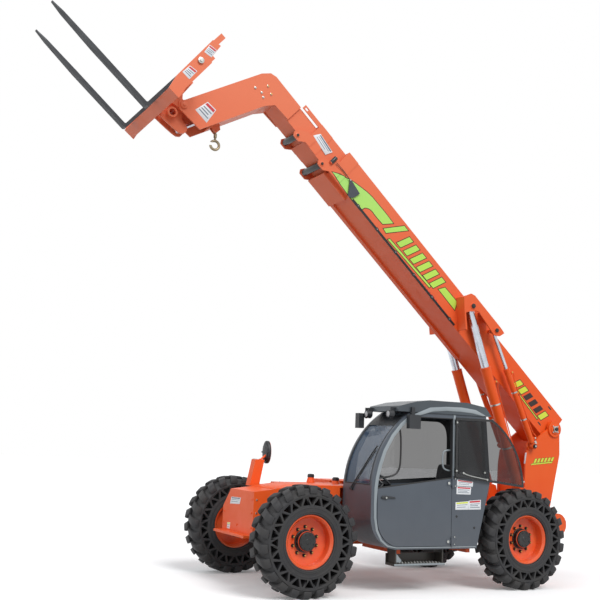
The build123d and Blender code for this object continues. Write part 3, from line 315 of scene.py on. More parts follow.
nodeFinish = {"boom_outer": "boomEnamel", "boom_middle": "boomEnamel", "boom_inner": "boomEnamel",
        "carriage": "boomEnamel", "coupler": "boomEnamel", "tilt_barrel": "boomEnamel",
        "cab_shell": "cabEnamel", "cab_door": "cabEnamel", "cab_top_frame": "cabEnamel",
        "door_hinges": "cabEnamel", "cab_roof": "roofEnamel", "windscreen": "screenGlass",
        "cab_glass": "smokedGlass", "door_window": "smokedGlass", "dashboard": "mouldedPlastic",
        "entry_step": "blackEnamel", "cab_mirrors": "mouldedPlastic", "work_lights": "mouldedPlastic",
        "nose_mirror": "orangeEnamel", "transmission": "castIron", "engine_block": "oilyIron",
        "front_axle": "castIron", "rear_axle": "castIron", "forks": "forkSteel", "hook": "forgedHook",
        "angle_indicator": "indicatorSteel", "boom_pivot_pin": "zincPlate"}
for name, node in nodes.items():
    finish = nodeFinish.get(name, "orangeEnamel")
    if name.endswith("_rim"):
        finish = "rimEnamel"
    if name.endswith("_knuckle"):
        finish = "castIron"
    if "_rod" in name:
        finish = "hardChrome"
    node.data.materials.clear()
    node.data.materials.append(materials[finish])
print("materials:", len(materials), "finishes on", len(nodes), "frame pieces")


# rounds edges, or cuts their corner off with one segment
def easeEdges(bm, edges, offset, segments=2):
    bmesh.ops.bevel(bm, geom=edges, affect="EDGES", offset=offset, segments=segments, profile=0.5, material=-1)


# flat plate with this outline, from low to high, its edges eased
def slab(outline, low, high, ease=0.0):
    part = bmesh.new()
    corners = [part.verts.new((u, v, low)) for u, v in outline]
    made = bmesh.ops.extrude_face_region(part, geom=[part.faces.new(corners)])
    top = [item for item in made["geom"] if isinstance(item, bmesh.types.BMVert)]
    bmesh.ops.translate(part, vec=(0, 0, high - low), verts=top)
    if ease:
        easeEdges(part, part.edges[:], ease)
    return part


# rectangle between two corners
def oblong(u0, v0, u1, v1):
    return [(u0, v0), (u1, v0), (u1, v1), (u0, v1)]


# round bar between two points, its end edges eased
def rod(start, end, radius, steps=20, ease=0.0):
    part = bmesh.new()
    start, end = Vector(start), Vector(end)
    turn = (end - start).to_track_quat("Z", "Y").to_matrix().to_4x4()
    bmesh.ops.create_cone(part, cap_ends=True, segments=steps, radius1=radius,
            radius2=radius, depth=(end - start).length)
    if ease:
        ends = [edge for edge in part.edges if abs(edge.verts[0].co.z - edge.verts[1].co.z) < 0.00001]
        easeEdges(part, ends, ease)
    bmesh.ops.transform(part, matrix=Matrix.Translation((start + end) / 2) @ turn, verts=part.verts)
    return part


# turned shape: a profile of (radius, height) spun about Z
def lathe(profile, steps):
    part = bmesh.new()
    ring = [part.verts.new((radius, 0, height)) for radius, height in profile]
    edges = [part.edges.new(pair) for pair in zip(ring, ring[1:])]
    bmesh.ops.spin(part, geom=ring + edges, cent=(0, 0, 0), axis=(0, 0, 1), angle=math.tau, steps=steps,
            use_merge=True)
    bmesh.ops.remove_doubles(part, verts=part.verts, dist=0.00002)
    return part


# frame with its Z axis along a direction, standing on a point
def standOn(foot, axis, turn=0.0):
    stand = Vector(axis).to_track_quat("Z", "Y").to_matrix().to_4x4()
    return Matrix.Translation(foot) @ stand @ Matrix.Rotation(turn, 4, "Z")


# hexagon nut or bolt head, drawn standing on the origin
def hexHead(across, high):
    part = bmesh.new()
    radius = across / 2 / math.cos(math.pi / 6)
    bmesh.ops.create_cone(part, cap_ends=True, segments=6, radius1=radius, radius2=radius, depth=high,
            matrix=Matrix.Translation((0, 0, high / 2)))
    rim = [edge for edge in part.edges if all(vert.co.z > high * 0.9 for vert in edge.verts)]
    easeEdges(part, rim, high * 0.14, segments=1)
    return part


# adds parts to a larger shape at their place
def addParts(bm, parts, place=None):
    for part in parts if isinstance(parts, (list, tuple)) else [parts]:
        if place is not None:
            bmesh.ops.transform(part, matrix=place, verts=part.verts)
        mesh = meshOf(part, "part")
        bm.from_mesh(mesh)
        bpy.data.meshes.remove(mesh)
        part.free()


# places on a circle, by default halfway between the quarters
def around(count, radius, shift=0.5):
    turns = [math.tau / count * (index + shift) for index in range(count)]
    return [(radius * math.cos(turn), radius * math.sin(turn)) for turn in turns]


# turns a bmesh into a piece: merged, placed, shaded, riding on its body and with its finish
def finishPiece(bm, name, body, finish, place=None, sharp=34):
    bmesh.ops.remove_doubles(bm, verts=bm.verts, dist=0.00004)
    if place is not None:
        bmesh.ops.transform(bm, matrix=place, verts=bm.verts)
    bmesh.ops.recalc_face_normals(bm, faces=bm.faces)
    mesh = meshOf(bm, name)
    bm.free()
    piece = linked(name, mesh)
    mesh.materials.append(materials[finish])
    mesh.shade_smooth()
    mesh.set_sharp_from_angle(angle=math.radians(sharp))
    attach(piece, body)
    return piece


# round tube along a smooth line through the machine
def pathTube(bm, points, radius, sides=3, place=machine):
    data = bpy.data.curves.new("line", "CURVE")
    data.dimensions = "3D"
    data.bevel_depth = radius
    data.bevel_resolution = sides
    data.use_fill_caps = True
    line = data.splines.new("NURBS")
    line.points.add(len(points) - 1)
    for point, spot in zip(line.points, points):
        point.co = (*(place @ Vector(spot)), 1)
    line.use_endpoint_u = True
    line.order_u = 3
    line.resolution_u = 6
    holder = bpy.data.objects.new("line", data)
    mesh = bpy.data.meshes.new_from_object(holder)
    bm.from_mesh(mesh)
    bpy.data.objects.remove(holder)
    bpy.data.curves.remove(data)
    bpy.data.meshes.remove(mesh)


# cuts one closed bmesh out of another
def cutAway(bm, cutter):
    made = []
    for part in (bm, cutter):
        bmesh.ops.recalc_face_normals(part, faces=part.faces)
        made.append(linked("cut", meshOf(part, "cut")))
    modifier = made[0].modifiers.new("cut", "BOOLEAN")
    modifier.operation = "DIFFERENCE"
    modifier.solver = "EXACT"
    modifier.object = made[1]
    depsgraph = bpy.context.evaluated_depsgraph_get()
    result = bpy.data.meshes.new_from_object(made[0].evaluated_get(depsgraph))
    bm.clear()
    bm.from_mesh(result)
    cutter.free()
    bpy.data.meshes.remove(result)
    for holder in made:
        mesh = holder.data
        bpy.data.objects.remove(holder)
        bpy.data.meshes.remove(mesh)


# drawn with local Z out of the machine's left side; the right wheels are the left ones mirrored
wheelTurn = Matrix(((0, 0, 1, 0), (1, 0, 0, 0), (0, 1, 0, 0), (0, 0, 0, 1)))
tyreSet = dict(radius=0.655, lugs=22, phase=math.radians(90 / 22), lugLong=0.093, lean=0.069, holes=36,
        holeLow=0.428, holeHigh=0.519, holeHalf=(0.058, 0.047), holeRound=0.011, lip=0.004, steps=88)


def wheelPlace(name):
    low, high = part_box(name)
    middle = (low + high) / 2
    mirror = Matrix.Scale(1 if middle.x > 0 else -1, 4, (1, 0, 0))
    return mirror @ Matrix.Translation((abs(middle.x), middle.y, middle.z)) @ wheelTurn


def tyreBody():
    half = [(0.3008, 0.0), (0.3008, 0.1275), (0.3185, 0.1275), (0.319, 0.158), (0.325, 0.17), (0.334, 0.1745),
            (0.342, 0.1725), (0.347, 0.179), (0.358, 0.179), (0.363, 0.1735), (0.39, 0.1735),
            (0.394, 0.1765), (0.404, 0.1765), (0.408, 0.1735), (0.532, 0.1735), (0.536, 0.179),
            (0.549, 0.179), (0.554, 0.172), (0.566, 0.164), (0.59, 0.146), (0.606, 0.118), (0.612, 0.06),
            (0.613, 0.0)]
    profile = [(r, -h) for r, h in reversed(half)] + half[1:]
    bm = lathe(profile, tyreSet["steps"])
    cutter = bmesh.new()
    middle = (tyreSet["holeLow"] + tyreSet["holeHigh"]) / 2
    reach = (tyreSet["holeHigh"] - tyreSet["holeLow"]) / 2
    for index in range(tyreSet["holes"]):
        point = 1 if index % 2 else -1
        wide = tyreSet["holeHalf"][index % 2]
        corners = [(middle - reach * point, -wide), (middle - reach * point, wide),
                (middle + reach * point, 0.0)]
        prism = slab(corners, -0.2, 0.2)
        upright = [edge for edge in prism.edges if abs(edge.verts[0].co.z - edge.verts[1].co.z) > 0.3]
        easeEdges(prism, upright, tyreSet["holeRound"])
        addParts(cutter, prism, Matrix.Rotation(math.tau / tyreSet["holes"] * index - math.pi / 2, 4, "Z"))
    cutAway(bm, cutter)
    lips = []
    for edge in bm.edges:
        if len(edge.link_faces) == 2:
            level = sorted(abs(face.normal.z) for face in edge.link_faces)
            where = (edge.verts[0].co + edge.verts[1].co) / 2
            if level[0] < 0.1 and level[1] > 0.9 and 0.415 < where.xy.length < 0.53 and abs(where.z) > 0.17:
                lips.append(edge)
    easeEdges(bm, lips, tyreSet["lip"])
    return bm


# one lug drawn as (out from the middle, up from the axle), bent round the tyre and leaned
def addLugs(bm):
    shape = [(0.008, 0.598), (0.008, 0.65), (0.013, 0.655), (0.128, 0.655), (0.152, 0.649), (0.17, 0.632),
            (0.1795, 0.602), (0.1795, 0.566), (0.174, 0.556), (0.156, 0.575), (0.14, 0.598)]
    lug = slab(shape, -tyreSet["lugLong"] / 2, tyreSet["lugLong"] / 2, ease=0.0045)
    bmesh.ops.bisect_plane(lug, geom=lug.verts[:] + lug.edges[:] + lug.faces[:], plane_co=(0, 0, 0),
            plane_no=(0, 0, 1))
    for side in (1, -1):
        for index in range(tyreSet["lugs"]):
            bent = lug.copy()
            turn = math.tau / tyreSet["lugs"] * index - side * tyreSet["phase"] - math.pi / 2
            for vert in bent.verts:
                out, up, along = vert.co
                swing = (out - 0.094) / 0.172
                along = along * (1 + (tyreSet["radius"] - up) * 2.2)
                along += tyreSet["lean"] * (0.62 * swing + 0.76 * swing * abs(swing))   # a slight hook in plan
                angle = turn + along / tyreSet["radius"]
                vert.co = (up * math.cos(angle), up * math.sin(angle), side * out)
            addParts(bm, bent)
    lug.free()


wheelNames = [name[:-5] for name in nodes if name.endswith("_tyre")]
tyreShape = tyreBody()
addLugs(tyreShape)
for name in wheelNames:
    copy = tyreShape.copy()
    tyre = finishPiece(copy, name + "_lugged_tyre", name + "_wheel", "tyreRubber", wheelPlace(name + "_tyre"),
            sharp=30)
    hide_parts(name + "_tyre")
tyreShape.free()
print("tyres:", len(wheelNames), "with", len(tyre.data.polygons), "faces each")

hubSet = dict(nuts=10, nutCircle=0.166, nutAcross=0.03, coverBolts=8, coverCircle=0.087, ribs=12)


def hubCover():
    bm = lathe([(0.0, 0.1035), (0.028, 0.1035), (0.034, 0.099), (0.07, 0.099), (0.076, 0.101),
            (0.096, 0.101), (0.106, 0.097), (0.1105, 0.088), (0.1115, 0.074), (0.1215, 0.071), (0.1245, 0.066),
            (0.1245, 0.02), (0.133, 0.017), (0.135, 0.0105), (0.135, 0.0075), (0.118, 0.0072)], 48)
    for u, v in around(hubSet["coverBolts"], hubSet["coverCircle"]):
        addParts(bm, hexHead(0.017, 0.0085), Matrix.Translation((u, v, 0.1)))
    for index in range(hubSet["ribs"]):   # cast ribs between the drum's two flanges
        rib = slab(oblong(0.11, -0.004, 0.1285, 0.004), 0.016, 0.069, ease=0.0015)
        addParts(bm, rib, Matrix.Rotation(math.tau / hubSet["ribs"] * index, 4, "Z"))
    return bm


def wheelNuts(studs):
    bm = bmesh.new()
    for index, (u, v) in enumerate(around(hubSet["nuts"], hubSet["nutCircle"])):
        spot = Matrix.Translation((u, v, 0.008))
        if studs:
            addParts(bm, rod((0, 0, 0.018), (0, 0, 0.036), 0.0085, 12, ease=0.001), spot)
        else:
            addParts(bm, rod((0, 0, -0.002), (0, 0, 0.005), 0.021, 20), spot)
            addParts(bm, hexHead(hubSet["nutAcross"], 0.026), spot @ Matrix.Rotation(0.3 * index, 4, "Z"))
    return bm


for name in wheelNames:
    place = wheelPlace(name + "_tyre")
    finishPiece(hubCover(), name + "_hub_cover", name + "_wheel", "oilyIron", place, sharp=28)
    finishPiece(wheelNuts(False), name + "_wheel_nuts", name + "_wheel", "castIron", place, sharp=25)
    finishPiece(wheelNuts(True), name + "_stud_ends", name + "_wheel", "brass", place)
print("hubs: covers, nuts and studs on", len(wheelNames), "wheels")


# rounds the corners of an open outline by cutting them off, a number of times
def softened(points, rounds):
    for _ in range(rounds):
        cut = [points[0]]
        for (a, b), (c, d) in zip(points, points[1:]):
            cut += [(a * 0.75 + c * 0.25, b * 0.75 + d * 0.25), (a * 0.25 + c * 0.75, b * 0.25 + d * 0.75)]
        points = cut + [points[-1]]
    return points


# the same outline, larger all round by a margin
def grown(outline, margin):
    area = sum(a * d - c * b for (a, b), (c, d) in zip(outline, outline[1:] + outline[:1]))
    sign = 1 if area > 0 else -1
    result = []
    for before, here, after in zip(outline[-1:] + outline[:-1], outline, outline[1:] + outline[:1]):
        first = (Vector(here) - Vector(before)).normalized()
        second = (Vector(after) - Vector(here)).normalized()
        normals = Vector((first.y, -first.x)), Vector((second.y, -second.x))
        middle = normals[0] + normals[1]
        middle = middle / max(middle.dot(normals[0]), 0.45) * sign   # long points are cut short
        result.append((here[0] + middle.x * margin, here[1] + middle.y * margin))
    return result


mirrored = Matrix.Scale(-1, 4, (1, 0, 0))
sideFrame = machine @ sideDraw
boomSide = boomFrame @ boomDraw
forkSide = carriageFrame @ boomDraw

# small parts that share a body and a finish are joined into one piece
groups = {}


def collect(kind, body, finish, parts, place=None):
    if (kind, body, finish) not in groups:
        groups[kind, body, finish] = bmesh.new()
    addParts(groups[kind, body, finish], parts, place)


# flat plate drawn as (rear, up)
def addSlab(kind, finish, outline, low, high, ease=0.0, place=sideFrame, body="base"):
    collect(kind, body, finish, slab(outline, low, high, ease), place)


# washer, boss or pin end
def addDisc(kind, finish, start, end, radius, steps=20, ease=0.002, place=machine, body="base"):
    collect(kind, body, finish, rod(start, end, radius, steps, ease), place)


# bolt head or nut that stands on a face
def addBolt(kind, finish, across, high, foot, axis, turn=0.0, place=machine, body="base"):
    collect(kind, body, finish, hexHead(across, high), place @ standOn(foot, axis, turn))


finishNames = dict(limeVinyl="lime", yellowVinyl="yellow", darkVinyl="dark", whiteVinyl="white", redVinyl="red",
        inkVinyl="grey")


# blank plate on a flat side, with a coloured band along its top and plain grey rules
def blankPlate(body, frameHere, corners, level, band="redVinyl", rules=3):
    (a, b), (c, d), (e, f), (g, h) = corners   # top left, top right, bottom right, bottom left

    def inside(across, down):
        left = a + (g - a) * down, b + (h - b) * down
        right = c + (e - c) * down, d + (f - d) * down
        return left[0] + (right[0] - left[0]) * across, left[1] + (right[1] - left[1]) * across

    def patch(x0, x1, y0, y1):
        return [inside(x0, y0), inside(x1, y0), inside(x1, y1), inside(x0, y1)]

    addSlab("plates", "whiteVinyl", patch(0, 1, 0, 1), level, level + 0.0012, ease=0.0004, place=frameHere,
            body=body)
    addSlab("plate_bands", band, patch(0.06, 0.94, 0.06, 0.24), level + 0.0008, level + 0.0017, place=frameHere,
            body=body)
    for index in range(rules):
        low = 0.36 + index * 0.54 / rules
        addSlab("plate_rules", "inkVinyl", patch(0.1, 0.9 - 0.14 * (index % 2), low, low + 0.075),
                level + 0.0008, level + 0.0016, place=frameHere, body=body)


boomSet = dict(side=0.26, thick=0.0014, margin=0.0105, bars=6, barStep=0.155, barWide=0.088, lean=-0.082)
swoosh = softened([(5.177, -0.165), (5.051, -0.076), (4.907, -0.003), (4.77, 0.041), (4.567, 0.095),
        (4.388, 0.099), (4.207, 0.103), (4.034, 0.096)], 1)
swoosh += softened([(4.138, -0.047), (4.277, -0.055), (4.412, -0.047), (4.49, -0.099), (4.504, -0.159)], 1)
swoosh += [(4.48, -0.19), (4.588, -0.193), (4.756, -0.19), (4.999, -0.176), (4.999, -0.052)]
swoosh = [p for p in swoosh if p[0] < 5.0]   # the rest lies on the collar
# its tip on the collar and on the roller's ear: outline, dark outline behind it, level
tips = [([(4.999, -0.175), (5.082, -0.17), (5.082, -0.098), (5.051, -0.077), (4.999, -0.05)],
        [(4.999, -0.186), (5.082, -0.181), (5.082, -0.082), (5.055, -0.066), (4.999, -0.038)], 0.269),
        ([(5.079, -0.17), (5.177, -0.165), (5.115, -0.121), (5.079, -0.097)],
        [(5.079, -0.181), (5.197, -0.17), (5.079, -0.08)], 0.278)]
frontBars = [[(4.085, -0.085), (4.015, -0.098), (3.8, 0.215), (3.885, 0.215)]]
for index in range(boomSet["bars"]):
    start = 3.8 - index * boomSet["barStep"]
    frontBars.append([(start, -0.062), (start - boomSet["barWide"], -0.062),
            (start - boomSet["barWide"] + boomSet["lean"], 0.165), (start + boomSet["lean"], 0.165)])
underline = [(3.93, -0.142), (2.985, -0.106), (2.985, -0.077), (3.915, -0.11)]
dash = [(2.861, -0.004), (2.801, 0.101), (2.515, 0.107), (2.461, -0.01)]
rearBars = [([(0.985 - 0.132 * index, -0.02 - 0.004 * index), (0.9 - 0.132 * index, -0.022 - 0.004 * index),
        (0.842 - 0.132 * index, 0.112), (0.927 - 0.132 * index, 0.114)],
        "yellowVinyl" if index in (0, 1, 5) else "darkVinyl") for index in range(6)]
rearLine = [(0.893, -0.06), (0.3, -0.084), (0.3, -0.07), (0.893, -0.046)]
ticks = [[(3.52 - 0.052 * index, -0.172 + 0.0012 * index), (3.494 - 0.052 * index, -0.172 + 0.0012 * index),
        (3.49 - 0.052 * index, -0.157 + 0.0012 * index),
        (3.516 - 0.052 * index, -0.157 + 0.0012 * index)] for index in range(15)]
for side in (Matrix(), mirrored):
    place = side @ boomSide
    level = boomSet["side"]
    for shape, finish in [(swoosh, "limeVinyl"), (underline, "limeVinyl"), (dash, "limeVinyl"),
            (rearLine, "yellowVinyl")] + [(bar, "limeVinyl") for bar in frontBars] + rearBars:
        if finish != "darkVinyl":
            back = slab(grown(shape, boomSet["margin"]), level, level + boomSet["thick"] * 0.6)
            collect("stripe_edges", "boom", "darkVinyl", back, place)
        addSlab("stripes", finish, shape, level, level + boomSet["thick"], place=place, body="boom")
    for shape, behind, high in tips:
        addSlab("stripe_edges", "darkVinyl", behind, high, high + boomSet["thick"] * 0.6, place=place,
                body="boom")
        addSlab("stripes", "limeVinyl", shape, high, high + boomSet["thick"], place=place, body="boom")
    for shape in ticks:
        addSlab("ticks", "redVinyl", shape, level, level + 0.0008, place=place, body="boom")
    for s, n in ((0.237, 0.213), (0.225, -0.104)):   # access slots, drawn as dark sheets on the side: painted shade inside their openings
        slot = softened([(s - 0.042, n), (s - 0.03, n + 0.011), (s + 0.03, n + 0.011), (s + 0.042, n),
                (s + 0.03, n - 0.011), (s - 0.03, n - 0.011), (s - 0.042, n)], 1)[:-1]
        addSlab("slots", "sealRubber", slot, level, level + 0.001, place=place, body="boom")

# rollers: nylon sleeves over the steel axles, with their nuts
rollerSet = dict(boom=(5.36, -0.212, 0.24, 0.278), middle=(5.865, -0.186, 0.176, 0.212), sleeve=0.0465,
        boss=0.036)
for body in ("boom", "middle"):
    along, across, reach, half = rollerSet[body]   # place, half length of the sleeve and of the axle
    sleeve = [rod((along, -reach, across), (along, reach, across), rollerSet["sleeve"], 36, ease=0.004)]
    collect("roller_sleeve", body, "rollerPolymer", sleeve, boomFrame)
    for sign in (-1, 1):
        addDisc("roller_nuts", "boomEnamel", (along, sign * half, across), (along, sign * (half + 0.006),
                across), rollerSet["boss"], 24, place=boomFrame, body=body)
        addBolt("roller_nuts", "castIron", 0.034, 0.014, (along, sign * (half + 0.006), across), (0, sign, 0),
                place=boomFrame, body=body)
addDisc("side_roller", "rollerPolymer", (5.282, 0.286, -0.098), (5.282, 0.286, 0.02), 0.0295, 28, ease=0.003,
        place=boomFrame, body="boom")

# hydraulic lines along the left lower edge, with their clips
lineSet = dict(radius=0.0085, start=2.32, end=4.7, clips=6)
for x, n in ((0.2705, -0.176), (0.2705, -0.194)):
    addDisc("hose_lines", "hoseRubber", (lineSet["start"], x, n), (lineSet["end"], x, n), lineSet["radius"], 14,
            place=boomFrame, body="boom")
for index in range(lineSet["clips"]):
    s = lineSet["start"] + 0.12 + (lineSet["end"] - lineSet["start"] - 0.24) * index / (lineSet["clips"] - 1)
    clip = slab(oblong(s - 0.02, -0.16, s + 0.02, -0.206), 0.2595, 0.2815, ease=0.004)
    collect("line_clips", "boom", "sealRubber", clip, boomSide)
    addBolt("clip_bolts", "zincPlate", 0.012, 0.005, (s, 0.2815, -0.185), (0, 1, 0), place=boomFrame,
            body="boom")
wire = bmesh.new()
for heights, radius in (((-0.02, -0.01, -0.016, -0.024), 0.0035), ((-0.05, -0.022, -0.021, -0.028), 0.003)):
    run = zip((5.225, 5.12, 5.02, 4.925), (0.2825, 0.2835, 0.2835, 0.2835), heights)
    pathTube(wire, list(run), radius, place=boomFrame)
finishPiece(wire, "indicator_wires", "boom", "sealRubber")
addDisc("boom_bolts", "zincPlate", (4.915, 0.284, -0.022), (4.915, 0.29, -0.022), 0.01, 16, ease=0.001,
        place=boomFrame, body="boom")

# nuts on the cylinder eye pins
for side in (Matrix(), mirrored):
    for s, n, across in ((2.36, 0.158, 0.062), (1.828, 0.212, 0.054)):
        addDisc("pin_washers", "boomEnamel", (s, 0.4475, n), (s, 0.451, n), across * 0.82, 36, ease=0.001,
                place=side @ boomFrame, body="boom")
        addBolt("pin_nuts", "castIron", across, 0.017, (s, 0.454, n), (0, 1, 0), place=side @ boomFrame,
                body="boom")
        addDisc("pin_ends", "castIron", (s, 0.47, n), (s, 0.474, n), across * 0.27, ease=0.001,
                place=side @ boomFrame, body="boom")

blankPlate("middle", boomSide, [(5.661, 0.122), (5.36, 0.087), (5.403, -0.032), (5.715, 0.012)], 0.2022,
        "inkVinyl", 2)
blankPlate("inner", boomSide, [(6.983, -0.92), (6.833, -0.902), (6.79, -1.132), (7.012, -1.137)], 0.1902,
        "redVinyl", 3)
for index, (s, n) in enumerate(((6.717, -0.222), (6.621, -0.05), (6.614, -0.192), (6.513, -0.09),
        (6.552, -0.22))):
    addDisc("head_fittings", "zincPlate", (s, 0.19, n), (s, 0.197, n), 0.017, place=boomFrame, body="inner")
    addBolt("head_fittings", "brass" if index % 2 else "zincPlate", 0.022, 0.012, (s, 0.197, n), (0, 1, 0),
            index, place=boomFrame, body="inner")
for corners in ([(0.307, 0.046), (0.199, 0.073), (0.191, -0.086), (0.311, -0.09)],
        [(0.33, 0.45), (0.224, 0.475), (0.205, 0.348), (0.312, 0.323)]):
    blankPlate("carriage", forkSide, corners, 0.9152, "redVinyl", 3)
for side in (1, -1):   # washers and bolts on the ends of the fork shaft and the head pin
    addDisc("shaft_ends", "zincPlate", (0.262, side * 0.93, 0.205), (0.262, side * 0.937, 0.205), 0.04, 28,
            place=carriageFrame, body="carriage")
    addBolt("shaft_ends", "zincPlate", 0.034, 0.014, (0.262, side * 0.937, 0.205), (0, side, 0),
            place=carriageFrame, body="carriage")
    addDisc("head_pin_caps", "boomEnamel", (7.145, side * 0.202, -1.221), (7.145, side * 0.209, -1.221), 0.046,
            32, ease=0.003, place=boomFrame, body="inner")
    addBolt("head_pin_caps", "boomEnamel", 0.03, 0.014, (7.145, side * 0.209, -1.221), (0, side, 0),
            place=boomFrame, body="inner")

# boom pivot: bolted cap each side, and the tower's stripes
towerSet = dict(pivot=(4.6, 2.167), level=0.315, margin=0.004, thick=0.0016, capBolts=4, capCircle=0.062)
for side in (Matrix(), mirrored):
    y, z = towerSet["pivot"]
    place = side @ machine
    addDisc("pivot_caps", "orangeEnamel", (0.341, y, z), (0.35, y, z), 0.078, 40, ease=0.003, place=place)
    addDisc("pivot_bolts", "zincPlate", (0.363, y, z), (0.369, y, z), 0.04, 32, place=place)
    addBolt("pivot_bolts", "castIron", 0.052, 0.024, (0.369, y, z), (1, 0, 0), place=place)
    for dy, dz in around(towerSet["capBolts"], towerSet["capCircle"]):
        addBolt("pivot_bolts", "zincPlate", 0.02, 0.01, (0.35, y + dy, z + dz), (1, 0, 0), place=place)
    stripe = [(4.15, 1.622), (4.56, 1.664), (4.566, 1.682), (4.17, 1.642)]
    shapes = [stripe] + [[(4.205 + 0.066 * k, 1.652 + 0.007 * k), (4.245 + 0.066 * k, 1.656 + 0.007 * k),
            (4.275 + 0.066 * k, 1.72 + 0.006 * k), (4.235 + 0.066 * k, 1.716 + 0.006 * k)] for k in range(6)]
    for shape in shapes:
        addSlab("tower_edges", "darkVinyl", grown(shape, towerSet["margin"]), towerSet["level"],
                towerSet["level"] + 0.0008, place=side @ sideFrame)
        addSlab("tower_stripes", "yellowVinyl", shape, towerSet["level"], towerSet["level"] + towerSet["thick"],
                place=side @ sideFrame)
    for y, z, x, across in ((4.15, 1.9, 0.402, 0.056), (3.905, 1.25, 0.452, 0.064)):
        addBolt("foot_nuts", "castIron", across, 0.024, (x, y, z), (1, 0, 0), place=place)
        addDisc("foot_pins", "zincPlate", (x + 0.022, y, z), (x + 0.031, y, z), across * 0.27, place=place)
edge = slab([(4.05, 1.64), (4.077, 1.8), (4.067, 1.801), (4.04, 1.641)], 0.288, 0.312, ease=0.001)
collect("tower_edge_plate", "base", "whiteVinyl", edge, sideFrame)
print("boom: stripes, rollers, lines and plates")


# points along the arc through three points, as (rear, up)
def arcPoints(start, middle, end, count):
    (ax, ay), (bx, by), (cx, cy) = start, middle, end
    d = 2 * (ax * (by - cy) + bx * (cy - ay) + cx * (ay - by))
    a2, b2, c2 = ax * ax + ay * ay, bx * bx + by * by, cx * cx + cy * cy
    ux = (a2 * (by - cy) + b2 * (cy - ay) + c2 * (ay - by)) / d
    uy = (a2 * (cx - bx) + b2 * (ax - cx) + c2 * (bx - ax)) / d
    radius = math.hypot(ax - ux, ay - uy)
    first = math.atan2(ay - uy, ax - ux)
    sweep = math.atan2(cy - uy, cx - ux) - first
    sweep = (sweep + math.pi) % (2 * math.pi) - math.pi
    return [(ux + radius * math.cos(first + sweep * k / count),
            uy + radius * math.sin(first + sweep * k / count)) for k in range(count + 1)]


# closed outline of a strip that runs to one side of an open line
def strip(line, wide):
    moved = []
    for index, here in enumerate(line):
        before, after = line[max(index - 1, 0)], line[min(index + 1, len(line) - 1)]
        way = (Vector(after) - Vector(before)).normalized()
        moved.append((here[0] + way.y * wide, here[1] - way.x * wide))
    return line + moved[::-1]


cabSet = dict(side=1.185, rightSide=0.488, screenLeft=1.139, screenRight=0.534, seal=0.0095)
screenArc = arcPoints((0.866, 1.327), (1.02, 1.828), (1.362, 2.2), 16)
screenLine = [p for p in screenArc if p[1] < 2.169]
outside = cabSet["side"]

# painted highlight: a pale strip that runs from the roof's edge down the front pillar, round the door and along
# the sill
ribbon = [(1.385, 2.196), (1.265, 2.1), (1.135, 1.952), (1.022, 1.76), (0.955, 1.575), (0.918, 1.42),
        (0.902, 1.297), (0.9, 1.1), (0.906, 0.93), (0.94, 0.77), (1.01, 0.65), (1.11, 0.58),
        (1.25, 0.5605), (2.47, 0.5605)]
ribbonWide = [0.046] * 7 + [0.036, 0.033, 0.03, 0.026, 0.02, 0.013, 0.013]
inner = []
for index, here in enumerate(ribbon):
    before, after = ribbon[max(index - 1, 0)], ribbon[min(index + 1, len(ribbon) - 1)]
    way = (Vector(after) - Vector(before)).normalized()
    inner.append((here[0] - way.y * ribbonWide[index], here[1] + way.x * ribbonWide[index]))
addSlab("trim", "trimEnamel", ribbon + inner[::-1], outside - 0.002, outside + 0.005, ease=0.0015)
# painted highlight along the roof's side edge, drawn as a raised pale strip
roofEdgeHighlight = [(1.385, 2.196), (1.508, 2.244), (1.702, 2.322), (1.951, 2.345), (2.204, 2.35), (2.429, 2.33),
        (2.6, 2.262), (2.56, 2.252), (2.378, 2.282), (2.172, 2.292), (1.968, 2.292), (1.736, 2.27),
        (1.56, 2.218), (1.42, 2.16)]
addSlab("roof_rail", "trimEnamel", roofEdgeHighlight, outside - 0.002, outside + 0.02, ease=0.004)
# painted highlight down the rear door post, a pale strip like the one on the front pillar
addSlab("trim", "trimEnamel", oblong(2.086, 1.462, 2.118, 2.246), outside - 0.002, outside + 0.0045,
        ease=0.0015)

# black seals round the doorway, the side windows and the screen
doorway = [(0.94, 1.292)] + arcPoints((0.94, 1.29), (1.075, 1.83), (1.44, 2.2), 14)
doorway += [(2.08, 2.2), (2.08, 1.436)]
addSlab("seals", "sealRubber", strip(doorway, 0.013), outside - 0.022, outside + 0.0008)
panes = [([(2.13, 1.45), (2.6, 1.47), (2.56, 2.19), (2.13, 2.19)], outside - 0.006, outside + 0.0035),
        ([(1.01, 1.32), (2.56, 1.42), (2.54, 2.18), (1.49, 2.18), (1.24, 2.02), (1.06, 1.7)],
        cabSet["rightSide"] - 0.0035, cabSet["rightSide"] + 0.006)]
for outline, low, high in panes:
    ring = slab(grown(outline, 0.02), low, high, ease=0.001)
    cutAway(ring, slab(grown(outline, -0.012), low - 0.02, high + 0.02))
    collect("seals", "base", "sealRubber", ring, sideFrame)
bm = bmesh.new()
for x in (cabSet["screenLeft"], cabSet["screenRight"]):
    pathTube(bm, [(x, y - 0.003, z) for y, z in screenLine], cabSet["seal"])
x0, x1 = cabSet["screenRight"], cabSet["screenLeft"]
addParts(bm, rod((x0, 0.865, 1.329), (x1, 0.865, 1.329), cabSet["seal"], 12), machine)
finishPiece(bm, "windscreen_seal", "base", "sealRubber")
# painted shade: a dark band along the top of the windscreen for the roof's shaded underside
band = [p for p in arcPoints((0.858, 1.32), (1.013, 1.83), (1.36, 2.207), 30) if p[1] > 2.055]
addSlab("sun_strip", "mouldedPlastic", strip(band, -0.004), x0 + 0.01, x1 - 0.01)
addSlab("belt_seal", "sealRubber", [(0.952, 1.2835), (2.066, 1.4274), (2.066, 1.4425), (0.952, 1.2985)],
        outside - 0.026, outside + 0.0025, ease=0.003, body="door")

